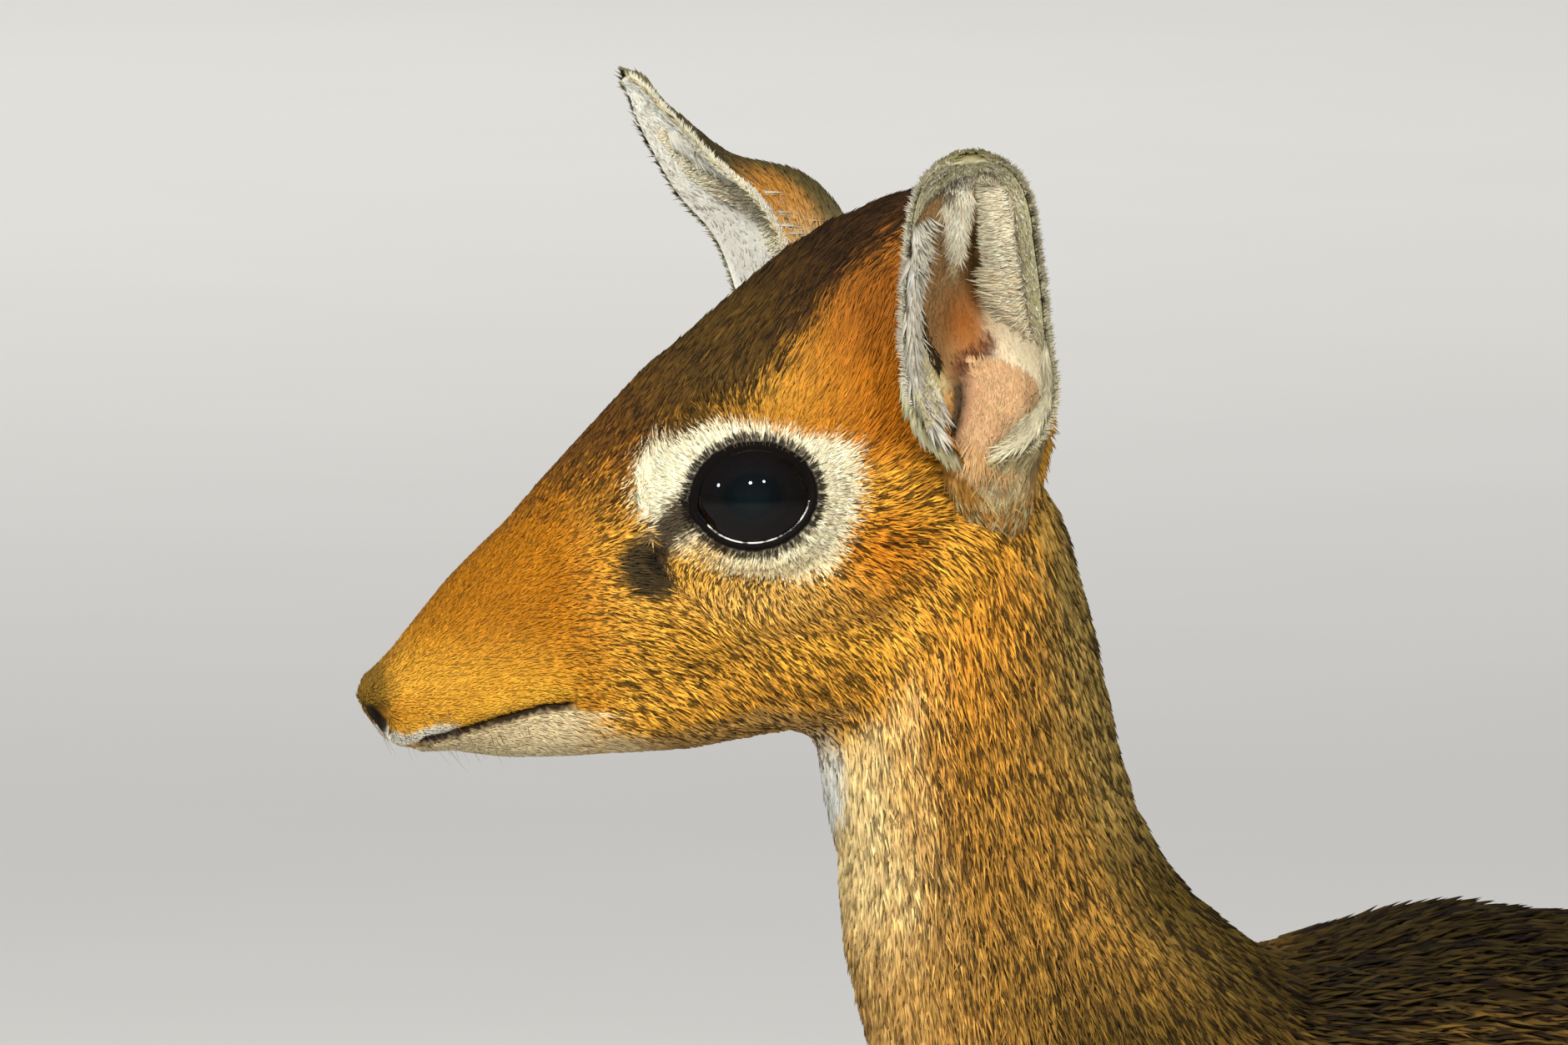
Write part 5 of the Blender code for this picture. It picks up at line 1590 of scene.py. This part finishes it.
# %% Build the ears
for side in SIDES:
    low = EARS[side]["table"][0, 0]
    s = low + (1 - low) * (1 - (1 - np.linspace(0, 1, EAR_ALONG)) ** 1.35)
    t = np.sin(np.linspace(-math.pi / 2, math.pi / 2, EAR_ACROSS))
    grid_s, grid_t = np.meshgrid(s, t, indexing="ij")
    rim = np.sqrt(np.clip(1 - grid_t ** 4, 0, 1))
    outside = ear_outside(side, grid_s, grid_t, rim)
    inside = ear_inside(side, grid_s, grid_t, rim)
    ring = np.concatenate([outside, inside[:, ::-1][:, 1:-1]], 1)
    rows, turns = ring.shape[:2]
    quads, index = band_quads(rows, turns)
    faces = quads.tolist() + [index[0][::-1], index[-1]]
    mesh = closed_mesh(f"ear_leaf_{side}", to_world(ring.reshape(-1, 3)), faces)
    ring_s = np.repeat(s[:, None], turns, 1).ravel()
    ring_t = np.repeat(np.concatenate([t, t[::-1][1:-1]])[None], rows, 0).ravel()
    within = np.repeat((np.arange(turns) >= EAR_ACROSS)[None], rows, 0).ravel()
    colour = np.where(within[:, None], inner_colour(ring_s, ring_t, side),
                      outer_colour(ring_s, ring_t, side))
    # The inside is painted a little lighter, painted light where it turns away from the lamps, and the
    # outside darker, painted shade under its hair.
    paint(mesh, coat=np.clip(colour * np.where(within, 1.05, 0.85)[:, None], 0, 0.95))
    leaf = piece_of(f"ear_leaf_{side}", mesh, EAR_SKIN)
    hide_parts(f"ear_{side}")

# %% [markdown]
# Ear hair comes in kinds, one row each. Outside there are back, rims and edge, and fan and
# foot low down. Inside, fringe and line hang in from the front rim, line being dark hairs along
# the fringe's edge that paint its shadow, and rear and lean come from the rear rim. Ridge, lobe,
# skirt, bottom and tuft dress the forms of those names, and down is the short hair everywhere else.

# %% Kinds of ear hair
# Kind: count, s from and to, t from and to, inside or not, the way it points, length, width, lift
EAR_KINDS = {
    "back": (8600, (-0.14, 0.985), (-1.0, 1.0), False, (0.0, 1.0), 3.0, 0.28, 0.8),
    "rims": (1400, (0.20, 0.985), (0.93, 1.0), False, (0.8, 1.0), 1.7, 0.20, 0.7),
    "edge": (5200, (0.20, 0.99), (0.955, 1.0), False, (0.25, 0.5), 1.8, 0.18, 0.4),
    "fringe": (1500, (0.22, 0.79), (-0.99, -0.50), True, (0.80, 0, -0.58), 6.6, 0.21, 2.2),
    # line: dark hairs along the fringe's edge, a painted shadow of the fringe
    "line": (420, (0.26, 0.74), (-0.99, -0.50), True, (0.45, 0, -0.85), 3.0, 0.22, 0.8),
    "rear": (2400, (0.36, 0.85), (0.30, 0.72), True, (-1.0, -0.12), 3.1, 0.24, 1.2),
    "lean": (560, (0.40, 0.55), (0.42, 0.74), True, (-0.86, 0, -0.42), 6.4, 0.24, 1.6),
    "ridge": (1100, (0.60, 0.85), (-0.36, 0.10), True, (0.0, -1.0), 4.4, 0.22, 0.9),
    "lobe": (2200, (0.10, 0.225), (0.0, 1.0), True, (-0.1, 0.7), 2.0, 0.24, 0.7),
    "skirt": (2600, (0.05, 0.42), (0.0, 1.0), True, (0.06, 0, -1.0), 4.6, 0.22, 1.0),
    "bottom": (1500, (0.06, 0.14), (-0.20, 0.75), True, (0.10, 0, -1.0), 5.0, 0.26, 1.4),
    "tuft": (700, (0.21, 0.33), (-1.0, -0.52), True, (-0.95, 0, -0.45), 4.8, 0.26, 2.0),
    "fan": (1100, (0.13, 0.32), (-1.0, -0.60), False, (-0.35, 0, -0.94), 5.4, 0.27, 2.0),
    "foot": (4200, (-0.15, 0.17), (0.40, 1.0), False, (0.16, 0, -0.98), 5.2, 0.30, 1.8),
    "down": (8600, (0.02, 0.97), (-0.97, 0.97), True, (0.0, 1.0), 2.0, 0.24, 0.35),
}
EAR_TICKING = 0.08
# First colour, second colour, and how much of the second a hair may take
EAR_MIX = {"rims": ("pale", "border", 0.7), "edge": ("white", "pale", 0.7),
           "fringe": ("white", "band", 0.6), "skirt": ("skirt", "pale", 0.7),
           "bottom": ("lobe", "base", 0.6), "line": ("line", "slit_shadow", 0.6),
           "rear": ("band", "ridge", 0.7), "lean": ("ridge", "straw", 0.6), "lobe": ("lobe", "pink", 0.6),
           "tuft": ("tuft", "ridge", 0.6), "fan": ("tuft", "ridge", 0.6)}
LIT_WAY = {"left": EARS["left"]["opening"],
           "right": unit(EARS["right"]["opening"] - np.array((0, 1.0, 0)))}


print(len(EAR_KINDS), "kinds,", sum(row[0] for row in EAR_KINDS.values()), "hairs an ear at most")

# %% Roots, lie and colour of one kind


def ear_batch(side, kind, rng):
    """One kind of ear hair: roots, normals, lie, sizes, colours and places to bake to."""
    count, s_range, t_range, inside, way, length, width, lift = EAR_KINDS[kind]
    s, t = rng.uniform(*s_range, count), rng.uniform(*t_range, count)
    if kind in ("rims", "foot", "edge"):
        t *= rng.choice((-1.0, 1.0), count)
    if kind == "skirt":
        t = t + (1 - t) * read_off(REAR_FOLD, s)
    if kind == "lobe":
        t = -0.22 + t * (read_off(REAR_FOLD, s) + 0.08)
    if kind == "fringe":
        t = -0.98 + rng.random(count) ** 2 * 0.28
    if kind == "line":
        t = np.clip(read_off(FRINGE_EDGE, s) + rng.normal(0.02, 0.03, count), -0.99, 0)
    if kind == "ridge":
        t = -0.18 + rng.uniform(-1, 1, count) * read_off(RIDGE_WIDTH, s)
    face = ear_inside if inside else ear_outside
    step = 0.01
    thick = np.sqrt(np.clip(1 - t ** 4, 0, 1))
    spot = face(side, s, t, thick)
    along = unit(face(side, s + step, t, thick) - face(side, s - step, t, thick))
    beside = unit(face(side, s, t + step, thick) - face(side, s, t - step, thick))
    normal = unit(np.cross(beside, along))
    faced = ear_normal(side, s, t) * (1 if inside else -1)
    if inside:
        way_out, rise = ear_filling(side, s, t)
        faced = faced + way_out * (rise > 1.0)[:, None] * 2
    if kind == "edge":
        normal = ear_normal(side, s, np.zeros(count))
        faced = normal
    normal *= np.sign((normal * faced).sum(1, keepdims=True))
    if len(way) == 2:
        lean = way[0] * (np.sign(t) if kind == "rims" else 1)
        lie = unit(beside * np.reshape(lean, (-1, 1)) + along * way[1])
    else:
        ahead = np.array(way) * np.array((1, -SIDES[side], 1))
        if side == "right":
            ahead = beside * way[0] + along * way[2]
        lie = laid_flat(ahead, normal)
    if kind in EAR_MIX:
        first, second, share = EAR_MIX[kind]
        colour = lay(plain(first, count), rng.random(count) * share, second)
        if kind == "fringe":
            colour = lay(colour, (rng.random(count) < 0.12) * 0.75, "line")
        if kind == "edge":
            colour = lay(colour, ease(0.2, 0.6, t) * 0.7, "border")
    elif not inside:
        colour = outer_colour(s, t, side)
    else:
        colour = inner_colour(s, t, side)
    if kind in ("back", "foot"):
        low = ease(0.07, -0.01, s)
        colour = lay(colour, low * (rng.random(count) < 0.45) * 0.75, "tuft")
        colour = lay(colour, low * (rng.random(count) < 0.20) * 0.8, "line")
    if kind == "down":
        border = ease(0.66, 0.76, np.maximum(t, s - 0.12))
        colour = lay(colour, border * (rng.random(count) < 0.30) * 0.7, "white")
        colour = lay(colour, border * (rng.random(count) < 0.25) * 0.6, "fold")
    if kind == "edge":
        lie = unit(beside * (np.sign(t) * way[0])[:, None] + along * way[1] - ear_normal(side, s, t))
    if inside:
        normal = unit(normal + LIT_WAY[side] * (0.9 if side == "left" else 2.5))
    elif kind == "edge" and side == "right":
        normal = np.repeat(LIT_WAY[side][None], count, 0)
    spread_low = 0.4 if kind in ("fringe", "edge", "lean", "tuft", "fan") else 0.7
    one = np.ones(count)
    sizes = {"length": length * rng.uniform(spread_low, 1.25, count), "width": width * one,
             "height": lift * one, "clump": 1.5 * one}
    place = np.stack([(t + 1) / 4.2 + (0.52 if inside else 0.0), np.clip(s, 0, 1)], 1)
    return to_world(spot), normal @ TURN.T, lie @ TURN.T, sizes, colour, place


print("ear hair can grow")

# %% Grow the ear hair
for side in SIDES:
    rng = np.random.default_rng(SEED + (1 if side == "left" else 2))
    parts = []
    for kind in EAR_KINDS:
        if side == "right" and kind in ("line", "lean", "fan"):
            continue
        spot, normal_here, lie_here, sizes_here, colour_here, place = ear_batch(side, kind, rng)
        made, clump_here = groomed(spot, normal_here, lie_here, sizes_here, rng, 12.0)
        gain = rng.normal(1.0, 0.11, len(spot)) * (0.90 + 0.2 * clump_here)
        parts.append((made, normal_here, np.clip(colour_here * gain[:, None], 0.002, 0.95), place))
    made, normal_here, colour_here, place = (np.concatenate(v) for v in zip(*parts))
    coat_piece(f"ear_hair_{side}", EAR_HAIR, made, normal_here, colour_here,
               np.full(len(made), EAR_TICKING), place)

# %% [markdown]
# ## Whiskers, lashes and the wet edge of the lids, with its painted highlight
# These few fine things follow paths, so a small geometry tree makes them: each polyline
# becomes a curve, a circle is swept along it and shrinks towards the end.

# %% A tree for tapered strands
strands = bpy.data.node_groups.new("tapered_strands", "GeometryNodeTree")
strands.interface.new_socket("Geometry", in_out="INPUT", socket_type="NodeSocketGeometry")
SOCKETS = {}
for socket_name, kind in (("Radius", "Float"), ("Taper", "Float"), ("Sides", "Int"),
                          ("Material", "Material")):
    made = strands.interface.new_socket(socket_name, in_out="INPUT", socket_type="NodeSocket" + kind)
    SOCKETS[socket_name] = made.identifier
strands.interface.new_socket("Geometry", in_out="OUTPUT", socket_type="NodeSocketGeometry")


def add(kind, **links):
    """A node of the tree with its inputs linked by name, spaces written as underscores."""
    node = strands.nodes.new(kind)
    for name, source in links.items():
        strands.links.new(source, node.inputs[name.replace("_", " ")])
    return node


given = strands.nodes.new("NodeGroupInput")
line = add("GeometryNodeMeshToCurve", Mesh=given.outputs["Geometry"])
share = add("GeometryNodeSplineParameter").outputs["Factor"]
taper = math_node(strands, "MULTIPLY", share, given.outputs["Taper"])
thin = math_node(strands, "SUBTRACT", 1.0, taper)
circle = add("GeometryNodeCurvePrimitiveCircle", Resolution=given.outputs["Sides"])
sweep = add("GeometryNodeCurveToMesh", Curve=line.outputs["Curve"], Profile_Curve=circle.outputs["Curve"],
            Scale=math_node(strands, "MULTIPLY", given.outputs["Radius"], thin))
sweep.inputs["Fill Caps"].default_value = True
realized = add("GeometryNodeRealizeInstances", Geometry=sweep.outputs["Mesh"])
smooth = add("GeometryNodeSetShadeSmooth", Geometry=realized.outputs["Geometry"])
dressed = add("GeometryNodeSetMaterial", Geometry=smooth.outputs["Geometry"],
              Material=given.outputs["Material"])
final = strands.nodes.new("NodeGroupOutput")
strands.links.new(dressed.outputs["Geometry"], final.inputs["Geometry"])


print("strand tree of", len(strands.nodes), "nodes")

# %% Strands kept as a mesh


def strand_piece(name, material, paths, radius, taper, sides=5):
    """A piece of strands along paths of head points, swept by the tree and kept as a mesh."""
    source = bpy.data.meshes.new(name + "_paths")
    corners = [tuple(p) for path in paths for p in to_world(path)]
    links, base = [], 0
    for path in paths:
        links += [(base + i, base + i + 1) for i in range(len(path) - 1)]
        base += len(path)
    source.from_pydata(corners, links, [])
    holder = placed(name + "_paths", source)
    modifier = holder.modifiers.new("strands", "NODES")
    modifier.node_group = strands
    for key, value in (("Radius", radius * MM), ("Taper", taper), ("Sides", sides), ("Material", material)):
        modifier[SOCKETS[key]] = value
    mesh = kept_mesh(holder)
    at = to_head(points_of(mesh))
    layer = mesh.uv_layers.new(name="OFBake")
    over = np.arctan2(at[:, 2], np.abs(at[:, 1])) / math.pi + 0.5
    spots = np.stack([(at[:, 0] + 84) / 170, over], 1)
    loops = np.empty(len(mesh.loops), np.int32)
    mesh.loops.foreach_get("vertex_index", loops)
    layer.data.foreach_set("uv", np.clip(spots, 0, 1)[loops].astype(np.float32).ravel())
    return piece_of(name, mesh, material)


# %% Materials of the fine things
WHISKER_HAIR, whisker_tree, whisker_shader = new_material("fine_dark_whiskers", 0.45, 0.4)
base_colour(whisker_tree, whisker_shader, noise_node(whisker_tree, 300.0, 2.0),
            (0.02, 0.014, 0.008, 1), (0.20, 0.14, 0.08, 1))
# The lids' wet edge is glossy, and its pale broken patches are a painted highlight on the tear film.
WET_EDGE_HIGHLIGHT, wet_tree, wet_shader = new_material("wet_lid_edge_highlight", 0.12, 0.6)
base_colour(wet_tree, wet_shader, step_node(wet_tree, noise_node(wet_tree, 520.0, 2.0), 0.38, 0.56),
            (0.03, 0.024, 0.02, 1), (0.80, 0.76, 0.70, 1))
print("fine materials ready")

# %% Whiskers, lashes and wet edges
WHISKERS, FROM_LIP, LASHES = 26, 14, 17
LASH_FROM, LASH_TO = 28, 112
WET_FROM, WET_TO, WET_POINTS, WET_REACH = 206, 348, 60, 13.12
face = BVHTree.FromPolygons(skin_head.tolist(), skin_triangles.tolist())


def on_face(x, z, sign):
    """The skin's point at x and z on one side of the head."""
    hit = face.ray_cast(Vector((x, sign * 40.0, z)), Vector((0, -sign, 0)))[0]
    return None if hit is None else np.array(hit)


for side, sign in SIDES.items():
    rng = np.random.default_rng(SEED + 5 + sign)
    paths = []
    for k in range(WHISKERS):
        chin = k >= FROM_LIP
        x = rng.uniform(-60, -44) if chin else rng.uniform(-71, -58)
        z = mouth_height(np.array([x]))[0] + (rng.uniform(-3.4, -1.6) if chin else rng.uniform(1.2, 5.5))
        start = on_face(x, z, sign)
        if start is None:
            continue
        reach = rng.uniform(3, 6.5) if chin else rng.uniform(4, 9)
        way = np.array((rng.uniform(-0.2, 0.6), sign * rng.uniform(0.5, 0.9), rng.uniform(-1.1, -0.4)))
        way /= np.linalg.norm(way)
        steps = np.linspace(0, 1, 6)[:, None]
        paths.append(start + way * reach * steps + np.array((0.25, 0, -0.2)) * reach * steps ** 2)
    strand_piece(f"whiskers_{side}", WHISKER_HAIR, paths, 0.055, 0.85)
    lashes = []
    for turn in np.radians(np.linspace(LASH_FROM, LASH_TO, LASHES) + rng.normal(0, 1.6, LASHES)):
        phi = np.full(5, turn)
        bend = np.linspace(0, 1, 5)
        theta = margin(phi) + 1.6 - 2.2 * bend + 5.0 * bend ** 2
        lashes.append(from_eye(13.8 + rng.uniform(1.8, 3.0) * bend, theta, phi, sign))
    strand_piece(f"lashes_{side}", WHISKER_HAIR, lashes, 0.09, 0.8)
    # A thin strand along each lower lid carries the painted highlight.
    phi = np.radians(np.linspace(WET_FROM, WET_TO, WET_POINTS))
    edge = from_eye(np.full(WET_POINTS, WET_REACH), margin(phi) - 1.0, phi, sign)
    strand_piece(f"wet_edge_{side}", WET_EDGE_HIGHLIGHT, [edge], 0.17, 0.0, 8)

# %% [markdown]
# ## Horn
# Hooves and dewclaws keep their solids and get the look of horn: nearly black, with faint
# rings of growth that run round the hoof and a dull, uneven gloss.

# %% Horn of the hooves
HORN, horn_tree, horn_shader = new_material("hoof_horn", 0.42, 0.45)
horn_place = horn_tree.nodes.new("ShaderNodeTexCoord").outputs["Object"]
growth = horn_tree.nodes.new("ShaderNodeTexWave")
growth.bands_direction = "Z"
growth.inputs["Scale"].default_value = 190.0
growth.inputs["Distortion"].default_value = 2.4
growth.inputs["Detail"].default_value = 2.0
horn_tree.links.new(horn_place, growth.inputs["Vector"])
streaks = noise_node(horn_tree, 260.0, 4.0, horn_place)
rings = mix_colour(horn_tree, growth.outputs["Fac"], (0.010, 0.008, 0.006, 1), (0.040, 0.030, 0.022, 1))
base_colour(horn_tree, horn_shader, math_node(horn_tree, "MULTIPLY", streaks, 0.5), rings,
            (0.006, 0.005, 0.004, 1))
bump_node(horn_tree, horn_shader, growth.outputs["Fac"], 0.4, 0.0003)
for name, node in nodes.items():
    if name.startswith(("hoof", "dewclaw")):
        node.data.materials.clear()
        node.data.materials.append(HORN)
print("horn on", sum(name.startswith(("hoof", "dewclaw")) for name in nodes), "solids")

# %% [markdown]
# ## Stage, light and camera
# The photograph was lit by small lamps, whose glints are on the eye, so three small round
# lamps glint here: two near the camera and one towards the nose. Broad lamps overhead and
# behind fill the rest, and one more lights the floor far behind. The camera looks along the
# photograph's direction from far away, as a long lens does.

# %% Floor
FLOOR_SIZE = 30.0
floor_mesh = bpy.data.meshes.new("floor")
bm = bmesh.new()
bmesh.ops.create_grid(bm, x_segments=2, y_segments=2, size=FLOOR_SIZE)
bm.to_mesh(floor_mesh)
bm.free()
floor = placed("floor", floor_mesh)
floor_material, floor_tree, floor_shader = new_material("pale_floor", 0.9, 0.1)
base_colour(floor_tree, floor_shader, noise_node(floor_tree, 6.0, 4.0),
            (0.72, 0.70, 0.66, 1), (0.75, 0.73, 0.69, 1))
floor_mesh.materials.append(floor_material)
print("floor ready")

# %% Camera
AZIMUTH, ELEVATION = -20, 6
DISTANCE = 4.5
PHOTO_WIDE = 0.2984
SENSOR_WIDE = 36
LOOK_OFFSET = Vector((0.01315, 0.02171, -0.00807))
target = middle_of("eye_left") + LOOK_OFFSET


def way_at(azimuth, elevation):
    """The direction at some degrees round, from the animal's left side, and some degrees up."""
    a, e = math.radians(azimuth), math.radians(elevation)
    return Vector((math.sin(a) * math.cos(e), -math.cos(a) * math.cos(e), math.sin(e)))


def facing(name, data, aim, way, distance):
    """A camera or lamp that stands off from a point and faces it."""
    thing = placed(name, data)
    thing.location = aim + way * distance
    thing.rotation_euler = (-way).to_track_quat("-Z", "Y").to_euler()
    return thing


toward_camera = way_at(AZIMUTH, ELEVATION)
camera_data = bpy.data.cameras.new("camera")
camera_data.sensor_width = SENSOR_WIDE
camera_data.lens = SENSOR_WIDE * DISTANCE / PHOTO_WIDE
camera_data.clip_end = 100
bpy.context.scene.camera = facing("camera", camera_data, target, toward_camera, DISTANCE)
print("camera", AZIMUTH, "degrees round and", ELEVATION, "up")

# %% Lights
FLOOR_LIT_AT = 4.6


def soft_box(name, azimuth, elevation, distance, size, watts, colour=(1, 1, 1), aim=target, glint=False):
    """A round area light that faces the head, or the point it is aimed at. Only some glint."""
    light = bpy.data.lights.new(name, "AREA")
    light.shape = "DISK"
    light.size = size
    light.energy = watts
    light.color = colour
    facing(name, light, aim, way_at(azimuth, elevation), distance).visible_glossy = glint


far_floor = target - toward_camera * FLOOR_LIT_AT
far_floor.z = 0.0
soft_box("key", -34, 28, 2.2, 0.24, 35, (1.0, 0.97, 0.92), glint=True)
soft_box("second", -4, 31, 2.3, 0.20, 20, (1.0, 0.97, 0.93), glint=True)
soft_box("nose_side", -100, 14, 2.2, 0.20, 12, (0.80, 0.94, 1.0), glint=True)
soft_box("overhead", 60, 70, 2.4, 1.6, 20)
soft_box("behind", 165, 35, 2.6, 1.4, 22)
soft_box("backdrop", 180, 62, 3.4, 4.0, 95, aim=far_floor)
world = bpy.data.worlds.new("studio")
world.use_nodes = True
world.node_tree.nodes["Background"].inputs["Color"].default_value = (0.80, 0.82, 0.85, 1)
world.node_tree.nodes["Background"].inputs["Strength"].default_value = 0.38
bpy.context.scene.world = world
bpy.context.scene.view_settings.view_transform = "Standard"
print(len(bpy.data.lights), "lamps")
